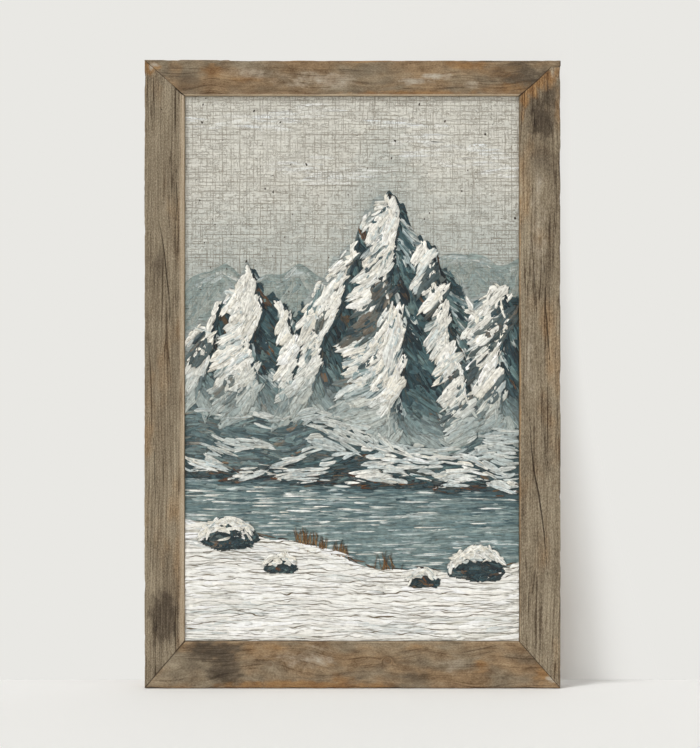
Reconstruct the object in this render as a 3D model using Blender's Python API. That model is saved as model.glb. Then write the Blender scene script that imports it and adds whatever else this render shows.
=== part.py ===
"""A rustic framed painting: four mitred rails of reclaimed wood hold a stretched canvas with thick
knife-laid paint. Metres, +Z up, the picture faces -Y, the origin is under the middle of the piece."""

import math

import bmesh
import bpy
from mathutils import Matrix, Vector

# ---- driving sizes -------------------------------------------------------------------------------
GAP = 0.0003  # left between pieces that touch

FRAME_WIDTH = 0.404
FRAME_HEIGHT = 0.610
RAIL_DEPTH = 0.0254
FACE = {"top": 0.035, "bottom": 0.0455, "left": 0.039, "right": 0.040}  # width of each rail's face
SIGHT_BEVEL = {"top": 0.0015, "bottom": 0.0015, "left": 0.0045, "right": 0.0020}
BEVEL_DROP = 0.5  # a sight bevel's depth as a share of its width
EASE = 0.0010  # small chamfer along the outer edges
LIP_THICKNESS = 0.0055  # wood in front of the canvas
LIP_COVER = 0.0065  # how far that lip covers the canvas

CANVAS_THICKNESS = 0.0007
CANVAS_FOLD = 0.020  # canvas turned over onto the back of the bars
CANVAS_SIDE_PLAY = 0.0006
CANVAS_TOP_PLAY = 0.0009
BAR_WIDTH = 0.036
BAR_DEPTH = 0.017
BAR_BEAD = 0.006  # the part of a bar's front that touches the canvas
BAR_RELIEF = 0.0025  # how far the rest slopes back

KEY_LENGTH = 0.026
KEY_HEIGHT = 0.013
KEY_THICKNESS = 0.0030
KEY_PROUD = 0.010  # length of a key that shows beyond its slot
KEY_OFFSET = 0.0010  # how far it lies off the bar beside it

FASTENER_LENGTH = 0.022  # corrugated strip across each mitre
FASTENER_DEPTH = 0.009
FASTENER_THICKNESS = 0.0007
FASTENER_WAVE = 0.0011
FASTENER_WAVES = 3

CLIP_LENGTH = 0.034
CLIP_WIDTH = 0.012
CLIP_THICKNESS = 0.0012
SCREW_HEAD_R = 0.0034
SCREW_SHANK_R = 0.0014
SCREW_LENGTH = 0.012

HANGER_LENGTH = 0.046
HANGER_HEIGHT = 0.010
HANGER_THICKNESS = 0.0008
HANGER_RISE = 0.0016  # how far its middle stands off the wood
HANGER_TEETH = 9
TOOTH_DEPTH = 0.0018
NAIL_HEAD_R = 0.0020
NAIL_SHANK_R = 0.0008
NAIL_LENGTH = 0.010

BUMPER_R = 0.0065
BUMPER_THICKNESS = 0.0035

# ---- places that follow from them ----------------------------------------------------------------
TOTAL_DEPTH = RAIL_DEPTH + GAP + BUMPER_THICKNESS
FRONT_Y = -TOTAL_DEPTH / 2
BACK_Y = FRONT_Y + RAIL_DEPTH
LEFT_X, RIGHT_X = -FRAME_WIDTH / 2, FRAME_WIDTH / 2
SIGHT_LEFT, SIGHT_RIGHT = LEFT_X + FACE["left"], RIGHT_X - FACE["right"]
SIGHT_BOTTOM, SIGHT_TOP = FACE["bottom"], FRAME_HEIGHT - FACE["top"]
SIGHT_WIDTH, SIGHT_HEIGHT = SIGHT_RIGHT - SIGHT_LEFT, SIGHT_TOP - SIGHT_BOTTOM
CANVAS_Y = FRONT_Y + LIP_THICKNESS + GAP  # the canvas's front
BAR_Y = CANVAS_Y + CANVAS_THICKNESS + GAP
CANVAS_BACK_Y = BAR_Y + BAR_DEPTH + GAP + CANVAS_THICKNESS
CANVAS_LEFT = SIGHT_LEFT - LIP_COVER + CANVAS_SIDE_PLAY
CANVAS_RIGHT = SIGHT_RIGHT + LIP_COVER - CANVAS_SIDE_PLAY
CANVAS_BOTTOM = SIGHT_BOTTOM - LIP_COVER + GAP
CANVAS_TOP = SIGHT_TOP + LIP_COVER - CANVAS_TOP_PLAY
BAR_INSET = CANVAS_THICKNESS + GAP  # a bar's outer edge inside the canvas's

# Which way each rail or bar runs: (direction along it, direction from its outer to its inner edge,
# the neighbour at its start, the neighbour at its end)
SIDES = {
    "top": (Vector((1, 0, 0)), Vector((0, 0, -1)), "left", "right"),
    "bottom": (Vector((1, 0, 0)), Vector((0, 0, 1)), "left", "right"),
    "left": (Vector((0, 0, 1)), Vector((1, 0, 0)), "bottom", "top"),
    "right": (Vector((0, 0, 1)), Vector((-1, 0, 0)), "bottom", "top"),
}

# ---- the painted scene, in shares of the sight opening (u to the right, v up) ---------------------
SKYLINE = [
    (0.00, 0.560), (0.07, 0.600), (0.13, 0.650), (0.19, 0.690), (0.25, 0.648), (0.31, 0.608),
    (0.36, 0.622), (0.43, 0.690), (0.49, 0.722), (0.54, 0.785), (0.60, 0.832), (0.65, 0.800),
    (0.70, 0.742), (0.76, 0.712), (0.82, 0.655), (0.88, 0.632), (0.94, 0.665), (1.00, 0.630),
]
FAR_RANGE = [
    (0.00, 0.655), (0.06, 0.680), (0.12, 0.690), (0.20, 0.660), (0.28, 0.675), (0.34, 0.690),
    (0.42, 0.668), (0.60, 0.700), (0.78, 0.705), (0.86, 0.715), (0.93, 0.690), (1.00, 0.700),
]
# Each ridge of the mountain, from its top to its foot, and how wide a face it throws
RIDGES = [
    (((0.60, 0.832), (0.635, 0.745), (0.600, 0.670), (0.655, 0.550), (0.615, 0.400)), 1.9),
    (((0.19, 0.690), (0.225, 0.605), (0.185, 0.530), (0.230, 0.400)), 1.5),
    (((0.94, 0.665), (0.965, 0.590), (0.925, 0.510), (0.950, 0.390)), 1.4),
    (((0.52, 0.760), (0.485, 0.660), (0.420, 0.560), (0.340, 0.390)), 1.1),
    (((0.72, 0.732), (0.770, 0.630), (0.800, 0.540), (0.880, 0.400)), 0.9),
    (((0.10, 0.622), (0.070, 0.530), (0.010, 0.410)), 0.8),
    (((0.29, 0.620), (0.330, 0.540), (0.310, 0.420)), 0.6),
]
# Boulders on the snow bank: centre, half width, half height
ROCKS = [
    (0.130, 0.185, 0.085, 0.040),
    (0.285, 0.135, 0.050, 0.024),
    (0.715, 0.108, 0.048, 0.024),
    (0.875, 0.128, 0.085, 0.044),
]
PAINT_SKY, PAINT_FAR, PAINT_LAKE = 0.0006, 0.0009, 0.0010  # how thick each mass of paint lies
PAINT_MOUNTAIN, PAINT_LIT, PAINT_BANK, PAINT_ROCK = 0.0013, 0.0007, 0.0019, 0.0013
SHEET_COLUMNS = 50


def u_of(x):
    return (x - SIGHT_LEFT) / SIGHT_WIDTH


def v_of(z):
    return (z - SIGHT_BOTTOM) / SIGHT_HEIGHT


def x_of(u):
    return SIGHT_LEFT + u * SIGHT_WIDTH


def z_of(v):
    return SIGHT_BOTTOM + v * SIGHT_HEIGHT


def along_line(points, u):
    """Height of a polyline at u."""
    for (u0, v0), (u1, v1) in zip(points, points[1:]):
        if u <= u1:
            return v0 + (v1 - v0) * (u - u0) / (u1 - u0)
    return points[-1][1]


def skyline(u):
    jag = 0.006 * math.sin(71 * u) + 0.005 * math.sin(143 * u + 1.3) + 0.003 * math.sin(267 * u + 2.1)
    return along_line(SKYLINE, u) + jag


def far_range(u):
    return along_line(FAR_RANGE, u) + 0.004 * math.sin(57 * u + 0.4)


def horizon(u):
    return max(far_range(u), skyline(u))


def foothills(u):
    return 0.400 + 0.030 * math.sin(5.2 * u + 0.6) + 0.014 * math.sin(13 * u + 2.0) + 0.005 * math.sin(37 * u)


def shoreline(u):
    return 0.300 - 0.030 * u + 0.004 * math.sin(31 * u) + 0.002 * math.sin(83 * u + 0.7)


def bank(u):
    return 0.168 + 0.045 * math.cos(1.3 * math.pi * u) + 0.005 * math.sin(19 * u + 0.5)


def ridge_at(points, v):
    """Where a ridge runs at height v."""
    for (high_u, high_v), (low_u, low_v) in zip(points, points[1:]):
        if v >= low_v:
            return high_u + (low_u - high_u) * (high_v - v) / (high_v - low_v)
    return points[-1][0]


def facing(u, v):
    """+1 on a face that looks left into the light, -1 on one that looks right, and between at a ridge."""
    nearest, side = 9.0, 0.0
    for points, reach in RIDGES:
        top_u, top_v = points[0]
        if v > top_v:
            continue
        wander = 0.006 * math.sin(60 * (top_v - v) + 9 * top_u) * min(1.0, 12 * (top_v - v))
        across = u - ridge_at(points, v) - wander
        if abs(across) / reach < nearest:
            nearest, side = abs(across) / reach, -across
    return max(-1.0, min(1.0, side / 0.008))


# ---- helpers -------------------------------------------------------------------------------------
def clear_scene():
    for old in list(bpy.data.objects):
        bpy.data.objects.remove(old)


def finish(name, color, roughness, metallic=0.0):
    material = bpy.data.materials.new(name)
    material.use_nodes = True
    shader = material.node_tree.nodes["Principled BSDF"]
    shader.inputs["Base Color"].default_value = (*color, 1.0)
    shader.inputs["Roughness"].default_value = roughness
    shader.inputs["Metallic"].default_value = metallic
    material.diffuse_color = (*color, 1.0)
    return material


def add_object(name, mesh_data, material):
    mesh = bpy.data.meshes.new(name)
    bmesh.ops.recalc_face_normals(mesh_data, faces=mesh_data.faces)
    mesh_data.to_mesh(mesh)
    mesh_data.free()
    mesh.materials.append(material)
    obj = bpy.data.objects.new(name, mesh)
    bpy.context.scene.collection.objects.link(obj)
    return obj


def loft(name, rings, material):
    """A closed solid through rings of points, each with the same count, capped at both ends."""
    shape = bmesh.new()
    loops = [[shape.verts.new(point) for point in ring] for ring in rings]
    for ring, after in zip(loops, loops[1:]):
        for i, vert in enumerate(ring):
            j = (i + 1) % len(ring)
            shape.faces.new((vert, ring[j], after[j], after[i]))
    shape.faces.new(loops[0])
    shape.faces.new(loops[-1])
    return add_object(name, shape, material)


def prism(name, outline, low_y, high_y, material):
    """An outline in X and Z, extruded along Y."""
    rings = [[(x, y, z) for x, z in outline] for y in (low_y, high_y)]
    return loft(name, rings, material)


def lathe(name, profile, centre, segments, material):
    """A profile of (radius, distance along Y) turned round a line along Y through centre."""
    rings = []
    for radius, offset in profile:
        turn = [2 * math.pi * i / segments for i in range(segments)]
        rings.append(
            [
                (centre[0] + radius * math.cos(a), centre[1] + offset, centre[2] + radius * math.sin(a))
                for a in turn
            ]
        )
    return loft(name, rings, material)


def cut(target, cutter):
    """Takes the cutter away from the target, and hides it."""
    modifier = target.modifiers.new("cut_" + cutter.name, "BOOLEAN")
    modifier.operation = "DIFFERENCE"
    modifier.solver = "EXACT"
    modifier.object = cutter
    cutter.hide_render = True
    cutter.display_type = "WIRE"


# ---- wooden rails --------------------------------------------------------------------------------
def rail_section(width, bevel):
    """Points (across from the outer edge, depth from the front) round a rabbeted rail."""
    rabbet = width - LIP_COVER
    return [
        (0, EASE),
        (EASE, 0),
        (width - bevel, 0),
        (width, bevel * BEVEL_DROP),
        (width, LIP_THICKNESS),
        (rabbet, LIP_THICKNESS),
        (rabbet, RAIL_DEPTH),
        (EASE, RAIL_DEPTH),
        (0, RAIL_DEPTH - EASE),
    ]


def bar_section():
    return [(0, 0), (BAR_BEAD, 0), (BAR_WIDTH, BAR_RELIEF), (BAR_WIDTH, BAR_DEPTH), (0, BAR_DEPTH)]


def mitred(name, section, width, widths_beside, length, corner, along, inward, front_y, material):
    """A length of moulding whose ends are cut on lines from its outer to its inner corners."""
    rings = []
    for end, beside in enumerate(widths_beside):
        ring = []
        for across, depth in section:
            inset = across * beside / width + GAP / 2 * math.hypot(width, beside) / width
            place = corner + along * (length - inset if end else inset) + inward * across
            ring.append((place.x, front_y + depth, place.z))
        rings.append(ring)
    return loft(name, rings, material)


def outer_corner(side, left, right, bottom, top):
    return {
        "top": Vector((left, 0, top)),
        "bottom": Vector((left, 0, bottom)),
        "left": Vector((left, 0, bottom)),
        "right": Vector((right, 0, bottom)),
    }[side]


def make_rails(wood):
    rails = {}
    for side, (along, inward, first, last) in SIDES.items():
        length = FRAME_WIDTH if along.x else FRAME_HEIGHT
        rails[side] = mitred(
            "rail_" + side,
            rail_section(FACE[side], SIGHT_BEVEL[side]),
            FACE[side],
            (FACE[first], FACE[last]),
            length,
            outer_corner(side, LEFT_X, RIGHT_X, 0, FRAME_HEIGHT),
            along,
            inward,
            FRONT_Y,
            wood,
        )
    return rails


def make_bars(pine):
    bars = {}
    left, right = CANVAS_LEFT + BAR_INSET, CANVAS_RIGHT - BAR_INSET
    bottom, top = CANVAS_BOTTOM + BAR_INSET, CANVAS_TOP - BAR_INSET
    for side, (along, inward, _, _) in SIDES.items():
        length = right - left if along.x else top - bottom
        bars[side] = mitred(
            "bar_" + side,
            bar_section(),
            BAR_WIDTH,
            (BAR_WIDTH, BAR_WIDTH),
            length,
            outer_corner(side, left, right, bottom, top),
            along,
            inward,
            BAR_Y,
            pine,
        )
    return bars


# ---- corrugated fasteners across the mitres, driven in from the back --------------------------------
def wave_outline(centre, direction, length, thickness):
    """A wavy strip in X and Z, length long and thickness thick."""
    steps = FASTENER_WAVES * 8
    normal = Vector((-direction.z, 0, direction.x))
    sides = ([], [])
    for i in range(steps + 1):
        t = i / steps - 0.5
        phase = 2 * math.pi * FASTENER_WAVES * t * length / FASTENER_LENGTH
        middle = centre + direction * (t * length) + normal * (FASTENER_WAVE * math.sin(phase))
        slope = 2 * math.pi * FASTENER_WAVES * FASTENER_WAVE / FASTENER_LENGTH * math.cos(phase)
        across = (normal - direction * slope).normalized() * (thickness / 2)
        for side, sign in zip(sides, (1, -1)):
            side.append(((middle + across * sign).x, (middle + across * sign).z))
    return sides[0] + sides[1][::-1]


def make_fasteners(rails, steel):
    corners = [("top", "left"), ("top", "right"), ("bottom", "left"), ("bottom", "right")]
    for level, side in corners:
        outer = Vector((LEFT_X if side == "left" else RIGHT_X, 0, 0 if level == "bottom" else FRAME_HEIGHT))
        mitre = SIDES[level][1] * FACE[level] + SIDES[side][1] * FACE[side]
        centre = outer + mitre * 0.42
        direction = Vector((-mitre.z, 0, mitre.x)).normalized()
        name = f"fastener_{level}_{side}"
        strip = wave_outline(centre, direction, FASTENER_LENGTH, FASTENER_THICKNESS)
        prism(name, strip, BACK_Y - FASTENER_DEPTH, BACK_Y, steel)
        room = wave_outline(centre, direction, FASTENER_LENGTH + 2 * GAP, FASTENER_THICKNESS + 2 * GAP)
        slot = prism("slot_" + name, room, BACK_Y - FASTENER_DEPTH - GAP, BACK_Y + 0.002, steel)
        cut(rails[level], slot)
        cut(rails[side], slot)


# ---- canvas and the keys that spread its bars ------------------------------------------------------
def rectangle(inset, y):
    left, right = CANVAS_LEFT + inset, CANVAS_RIGHT - inset
    bottom, top = CANVAS_BOTTOM + inset, CANVAS_TOP - inset
    return [(left, y, bottom), (right, y, bottom), (right, y, top), (left, y, top)]


def make_canvas(linen):
    """One sheet: across the front, round the bars' edges and folded onto their backs."""
    edge = 0.0008  # rounding where the sheet turns over the bars
    inner_back = CANVAS_BACK_Y - CANVAS_THICKNESS
    rings = [
        rectangle(edge, CANVAS_Y),
        rectangle(0, CANVAS_Y + edge),
        rectangle(0, CANVAS_BACK_Y),
        rectangle(CANVAS_FOLD, CANVAS_BACK_Y),
        rectangle(CANVAS_FOLD, inner_back),
        rectangle(CANVAS_THICKNESS, inner_back),
        rectangle(CANVAS_THICKNESS, CANVAS_Y + CANVAS_THICKNESS),
    ]
    return loft("canvas", rings, linen)


def make_keys(bars, wood):
    """Two wedges in each inner corner: each lies along one bar, with its tip in a slot in the next."""
    reach = BAR_INSET + BAR_WIDTH
    for side, (along, inward, first, last) in SIDES.items():
        corner = outer_corner(side, CANVAS_LEFT, CANVAS_RIGHT, CANVAS_BOTTOM, CANVAS_TOP)
        length = (CANVAS_RIGHT - CANVAS_LEFT) if along.x else (CANVAS_TOP - CANVAS_BOTTOM)
        middle_y = BAR_Y + BAR_DEPTH * (0.66 if along.x else 0.36)
        for end, beside in enumerate((first, last)):
            forward = along * (-1 if end else 1)
            inner = corner + along * (length if end else 0) + forward * reach + inward * reach
            tip = inner - forward * (KEY_LENGTH - KEY_PROUD)
            butt = inner + forward * KEY_PROUD
            name = f"key_{side}_{end + 1}"
            for play, label in ((0, name), (GAP, "slot_" + name)):
                wedge = [
                    tip - forward * play + inward * (KEY_OFFSET - play),
                    butt + inward * (KEY_OFFSET - play),
                    butt + inward * (KEY_HEIGHT + play),
                    tip - forward * play + inward * (KEY_HEIGHT * 0.45 + play),
                ]
                half = KEY_THICKNESS / 2 + play
                made = prism(label, [(p.x, p.z) for p in wedge], middle_y - half, middle_y + half, wood)
                if play:
                    cut(bars[beside], made)


# ---- hardware on the back --------------------------------------------------------------------------
def clip_places():
    """Centre of each clip's screw and the way from it to the canvas."""
    places = []
    for side in ("left", "right"):
        x = (LEFT_X + 0.013) if side == "left" else (RIGHT_X - 0.013)
        for share in (0.27, 0.73):
            places.append((f"{side}_{1 if share < 0.5 else 2}", side, Vector((x, 0, FRAME_HEIGHT * share))))
    places.append(("bottom", "bottom", Vector((0, 0, 0.018))))
    places.append(("top", "top", Vector((0.075, 0, FRAME_HEIGHT - 0.012))))
    return places


def make_clips(rails, steel):
    for name, side, centre in clip_places():
        inward = SIDES[side][1]
        along = SIDES[side][0]
        outline = []
        for way, start in ((-1, 90), (1, -90)):  # a strip with round ends
            middle = centre + inward * (CLIP_WIDTH / 2 if way < 0 else CLIP_LENGTH - CLIP_WIDTH / 2)
            middle -= inward * (CLIP_WIDTH / 2)
            for step in range(7):
                angle = math.radians(start + step * 30)
                place = middle + (inward * math.cos(angle) + along * math.sin(angle)) * (CLIP_WIDTH / 2)
                outline.append((place.x, place.z))
        low = BACK_Y + GAP
        clip = prism("clip_" + name, outline, low, low + CLIP_THICKNESS, steel)
        top = low + CLIP_THICKNESS
        head = [
            (SCREW_SHANK_R * 0.35, BACK_Y - SCREW_LENGTH),
            (SCREW_SHANK_R, BACK_Y - SCREW_LENGTH + 0.003),
            (SCREW_SHANK_R, top + GAP),
            (SCREW_HEAD_R, top + GAP),
            (SCREW_HEAD_R * 0.92, top + GAP + 0.0007),
            (SCREW_HEAD_R * 0.55, top + GAP + 0.0014),
        ]
        lathe("screw_" + name, head, (centre.x, 0, centre.z), 12, steel)
        bore = SCREW_SHANK_R + GAP
        hole = [(bore, BACK_Y - SCREW_LENGTH - GAP), (bore, top + 0.002)]
        drill = lathe("hole_" + name, hole, (centre.x, 0, centre.z), 12, steel)
        cut(rails[side], drill)
        cut(clip, drill)


def hanger_stand_off(share):
    """How far the hanger's back is off the wood at a share of its length: flat ends, raised middle."""
    rise = max(0.0, min(1.0, (0.5 - abs(share - 0.5) - 0.20) / 0.08))
    return BACK_Y + GAP + HANGER_RISE * rise


def make_hanger(rails, brass):
    """A sawtooth hanger: a strip with teeth along its lower edge, nailed at both ends."""
    middle_z = FRAME_HEIGHT - FACE["top"] * 0.42
    steps = HANGER_TEETH * 2
    flat = 0.22  # share of the length at each end that has no teeth
    shares = [0.0, 0.10, 0.20] + [flat + (1 - 2 * flat) * i / steps for i in range(steps + 1)]
    shares += [0.80, 0.90, 1.0]
    rings = []
    for i, share in enumerate(shares):
        x = (share - 0.5) * HANGER_LENGTH
        toothed = flat <= share <= 1 - flat
        tooth = TOOTH_DEPTH if toothed and i % 2 == 0 else 0.0
        y = hanger_stand_off(share)
        low, high = middle_z - HANGER_HEIGHT / 2 + tooth, middle_z + HANGER_HEIGHT / 2
        rings.append([(x, y, low), (x, y + HANGER_THICKNESS, low), (x, y + HANGER_THICKNESS, high), (x, y, high)])
    hanger = loft("hanger", rings, brass)
    for number, share in ((1, 0.10), (2, 0.90)):
        centre = ((share - 0.5) * HANGER_LENGTH, 0, middle_z + 0.001)
        top = BACK_Y + GAP + HANGER_THICKNESS
        profile = [
            (NAIL_SHANK_R * 0.3, BACK_Y - NAIL_LENGTH),
            (NAIL_SHANK_R, BACK_Y - NAIL_LENGTH + 0.002),
            (NAIL_SHANK_R, top + GAP),
            (NAIL_HEAD_R, top + GAP),
            (NAIL_HEAD_R * 0.8, top + GAP + 0.0006),
        ]
        lathe(f"nail_{number}", profile, centre, 10, brass)
        bore = NAIL_SHANK_R + GAP
        drill = lathe(
            f"nail_hole_{number}", [(bore, BACK_Y - NAIL_LENGTH - GAP), (bore, top + 0.002)], centre, 10, brass
        )
        cut(rails["top"], drill)
        cut(hanger, drill)


def make_bumpers(felt):
    """Round pads on the lower corners that keep the back off the wall."""
    for side, x in (("left", LEFT_X + 0.017), ("right", RIGHT_X - 0.017)):
        low = BACK_Y + GAP
        high = low + BUMPER_THICKNESS
        ease = 0.0008
        profile = [(BUMPER_R, low), (BUMPER_R, high - ease), (BUMPER_R - ease, high)]
        lathe("bumper_" + side, profile, (x, 0, 0.052), 24, felt)


# ---- paint -----------------------------------------------------------------------------------------
def column_u(i):
    inset = GAP / SIGHT_WIDTH
    return inset + (1 - 2 * inset) * i / SHEET_COLUMNS


def paint_sheet(name, lower, upper, rows, thickness, back_y, material, columns=(0, SHEET_COLUMNS)):
    """Paint between two lines of the picture, lower(u) and upper(u), as thick as thickness(u, v) says."""
    shape = bmesh.new()
    grid = []
    for i in range(columns[0], columns[1] + 1):
        u = column_u(i)
        low, high = lower(u), upper(u)
        column = []
        for j in range(rows + 1):
            v = low + (high - low) * j / rows
            column.append(shape.verts.new((x_of(u), back_y - thickness(u, v), z_of(v))))
        grid.append(column)
    for left, right in zip(grid, grid[1:]):
        for j in range(rows):
            shape.faces.new((left[j], right[j], right[j + 1], left[j + 1]))
    rim = [column[0] for column in grid] + grid[-1][1:]
    rim += [column[-1] for column in grid[::-1][1:]] + grid[0][::-1][1:-1]
    behind = [shape.verts.new((vert.co.x, back_y, vert.co.z)) for vert in rim]
    for i, vert in enumerate(rim):
        j = (i + 1) % len(rim)
        shape.faces.new((vert, rim[j], behind[j], behind[i]))
    shape.faces.new(behind)
    return add_object(name, shape, material)


def strokes(u, v, across, along, depth):
    """Low ridges, as a knife leaves them."""
    return depth * (math.sin(across * v + along * u) + 0.6 * math.sin(across * 1.9 * v - along * 1.3 * u + 1.1))


def far_stretches(least):
    """The columns, first to last, of each stretch where the far range shows above the mountain."""
    shows = [far_range(column_u(i)) - skyline(column_u(i)) > least for i in range(SHEET_COLUMNS + 1)]
    firsts = [i for i, seen in enumerate(shows) if seen and (i == 0 or not shows[i - 1])]
    lasts = [i for i, seen in enumerate(shows) if seen and (i == SHEET_COLUMNS or not shows[i + 1])]
    return [pair for pair in zip(firsts, lasts) if pair[1] > pair[0]]


def mountain_depth(u, v):
    """Thicker on the lit faces, thinner on the shaded ones, level on the hills at its foot."""
    side = facing(u, v) if v > foothills(u) else 0.0
    return PAINT_MOUNTAIN + PAINT_LIT * side + strokes(u, v, 90, 60 * side, 0.00012)


def make_paint(sky, haze, rock, water, snow):
    margin = GAP / SIGHT_HEIGHT
    back_y = CANVAS_Y - GAP
    paint_sheet(
        "paint_sky", lambda u: horizon(u) + margin, lambda u: 1 - margin, 6,
        lambda u, v: PAINT_SKY + strokes(u, v, 80, 3, 0.00008), back_y, sky,
    )  # fmt: skip
    for number, columns in enumerate(far_stretches(4 * margin), 1):
        paint_sheet(
            f"paint_far_range_{number}", lambda u: skyline(u) + margin, far_range, 3,
            lambda u, v: PAINT_FAR + strokes(u, v, 60, 90, 0.00008), back_y, haze, columns,
        )  # fmt: skip
    paint_sheet(
        "paint_mountain", lambda u: shoreline(u) + margin, skyline, 20, mountain_depth, back_y, rock
    )
    paint_sheet(
        "paint_lake", lambda u: bank(u) + margin, shoreline, 6,
        lambda u, v: PAINT_LAKE + strokes(u, v, 300, 4, 0.00012), back_y, water,
    )  # fmt: skip
    paint_sheet(
        "paint_bank", lambda u: margin, bank, 8,
        lambda u, v: PAINT_BANK + strokes(u, v, 260, 16, 0.00018), back_y, snow,
    )  # fmt: skip


def make_rocks(rock):
    """Boulders of thick paint that lie on the bank's."""
    back_y = CANVAS_Y - GAP - PAINT_BANK - 0.0004 - GAP
    points = 16
    for number, (u, v, half_width, half_height) in enumerate(ROCKS, 1):
        rings = []
        for size, height in ((1.0, 0.0), (0.96, 0.6), (0.72, 1.0)):
            ring = []
            for i in range(points):
                angle = 2 * math.pi * i / points
                rough = 1 + 0.10 * math.sin(3 * angle + number) + 0.06 * math.sin(7 * angle + 2 * number)
                flat = 0.45 if math.sin(angle) < 0 else 1.0  # the foot is flatter than the crown
                x = x_of(u + half_width * size * rough * math.cos(angle))
                z = z_of(v + half_height * flat * size * rough * math.sin(angle))
                ring.append((x, back_y - PAINT_ROCK * height, z))
            rings.append(ring)
        loft(f"paint_rock_{number}", rings, rock)


def build():
    clear_scene()
    wood = finish("weathered_wood", (0.225, 0.165, 0.110), 0.78)
    pine = finish("stretcher_pine", (0.62, 0.44, 0.24), 0.65)
    key_wood = finish("key_wood", (0.55, 0.37, 0.19), 0.60)
    linen = finish("linen", (0.62, 0.56, 0.45), 0.90)
    steel = finish("zinc_steel", (0.55, 0.56, 0.57), 0.38, 1.0)
    brass = finish("brass", (0.68, 0.50, 0.22), 0.35, 1.0)
    felt = finish("bumper_felt", (0.045, 0.043, 0.040), 0.95)
    sky = finish("paint_sky", (0.53, 0.52, 0.45), 0.55)
    haze = finish("paint_haze", (0.30, 0.37, 0.37), 0.55)
    rock = finish("paint_rock", (0.075, 0.125, 0.135), 0.45)
    water = finish("paint_water", (0.15, 0.22, 0.23), 0.40)
    snow = finish("paint_snow", (0.78, 0.76, 0.68), 0.50)

    rails = make_rails(wood)
    make_fasteners(rails, steel)
    bars = make_bars(pine)
    make_keys(bars, key_wood)
    make_canvas(linen)
    make_clips(rails, steel)
    make_hanger(rails, brass)
    make_bumpers(felt)
    make_paint(sky, haze, rock, water, snow)
    make_rocks(rock)


build()
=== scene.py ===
import math
import random

import bmesh
import bpy
import numpy as np
from mathutils import Matrix, Vector, noise


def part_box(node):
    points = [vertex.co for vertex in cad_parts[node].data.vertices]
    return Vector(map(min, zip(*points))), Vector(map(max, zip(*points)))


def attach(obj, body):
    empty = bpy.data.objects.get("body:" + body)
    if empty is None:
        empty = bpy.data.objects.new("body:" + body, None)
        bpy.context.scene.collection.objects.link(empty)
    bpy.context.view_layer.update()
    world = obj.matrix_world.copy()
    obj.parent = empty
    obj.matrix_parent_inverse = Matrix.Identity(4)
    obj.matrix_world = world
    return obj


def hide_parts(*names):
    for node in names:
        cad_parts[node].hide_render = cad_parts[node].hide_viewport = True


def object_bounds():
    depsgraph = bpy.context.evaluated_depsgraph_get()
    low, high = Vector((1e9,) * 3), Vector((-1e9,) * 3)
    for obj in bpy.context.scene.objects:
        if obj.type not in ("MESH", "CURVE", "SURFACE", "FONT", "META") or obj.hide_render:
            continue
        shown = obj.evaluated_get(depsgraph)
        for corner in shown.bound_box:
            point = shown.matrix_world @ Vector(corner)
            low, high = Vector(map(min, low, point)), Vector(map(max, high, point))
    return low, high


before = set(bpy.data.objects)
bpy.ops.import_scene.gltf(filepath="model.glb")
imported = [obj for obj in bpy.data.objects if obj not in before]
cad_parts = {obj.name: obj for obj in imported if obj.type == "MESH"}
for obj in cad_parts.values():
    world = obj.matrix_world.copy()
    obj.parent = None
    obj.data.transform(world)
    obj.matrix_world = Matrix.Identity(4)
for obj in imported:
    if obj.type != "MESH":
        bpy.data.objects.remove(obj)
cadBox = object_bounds()
mm = 0.001

# places that everything else hangs on, read from the rails
frontY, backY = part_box("rail_top")[0].y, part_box("rail_top")[1].y
sightLeft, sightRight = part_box("rail_left")[1].x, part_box("rail_right")[0].x
sightBottom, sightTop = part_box("rail_bottom")[1].z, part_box("rail_top")[0].z
frameLeft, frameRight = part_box("rail_left")[0].x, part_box("rail_right")[1].x
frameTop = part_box("rail_top")[1].z
canvasLow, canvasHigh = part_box("canvas")
canvasY = canvasLow.y  # the canvas's front
sightWidth, sightHeight = sightRight - sightLeft, sightTop - sightBottom


class Field:  # a node's output, which can stand in a formula
    def __init__(self, tree, socket):
        self.tree, self.socket = tree, socket

    def math(self, operation, *others, clamp=False):
        inputs = dict(enumerate((self, *others)))
        return addNode(self.tree, "ShaderNodeMath", inputs, operation=operation, use_clamp=clamp)

    def __add__(self, other):
        return self.math("ADD", other)

    def __sub__(self, other):
        return self.math("SUBTRACT", other)

    def __rsub__(self, other):
        return self * -1.0 + other

    def __mul__(self, other):
        return self.math("MULTIPLY", other)

    def __truediv__(self, other):
        return self.math("DIVIDE", other)

    def __abs__(self):
        return self.math("ABSOLUTE")

    __radd__, __rmul__ = __add__, __mul__


# node helpers: an input given as a field is linked, anything else is set
def addNode(tree, kind, inputs=None, output=0, **settings):
    made = tree.nodes.new(kind)
    for name, value in settings.items():
        setattr(made, name, value)
    for name, value in (inputs or {}).items():
        if isinstance(value, Field):
            tree.links.new(value.socket, made.inputs[name])
        else:
            made.inputs[name].default_value = value
    return Field(tree, made.outputs[output])


def treeOf(*values):
    return next(value.tree for value in values if isinstance(value, Field))


def vectorCalc(operation, *values):
    output, inputs = "Value" if operation == "LENGTH" else "Vector", dict(enumerate(values))
    return addNode(treeOf(*values), "ShaderNodeVectorMath", inputs, output, operation=operation)


def scaled(vector, size):
    return addNode(vector.tree, "ShaderNodeVectorMath", {0: vector, "Scale": size}, operation="SCALE")


def split(vector):
    made = addNode(vector.tree, "ShaderNodeSeparateXYZ", {0: vector})
    return [Field(vector.tree, socket) for socket in made.socket.node.outputs]


def combine(x=0.0, y=0.0, z=0.0):
    return addNode(treeOf(x, y, z), "ShaderNodeCombineXYZ", {"X": x, "Y": y, "Z": z})


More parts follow.
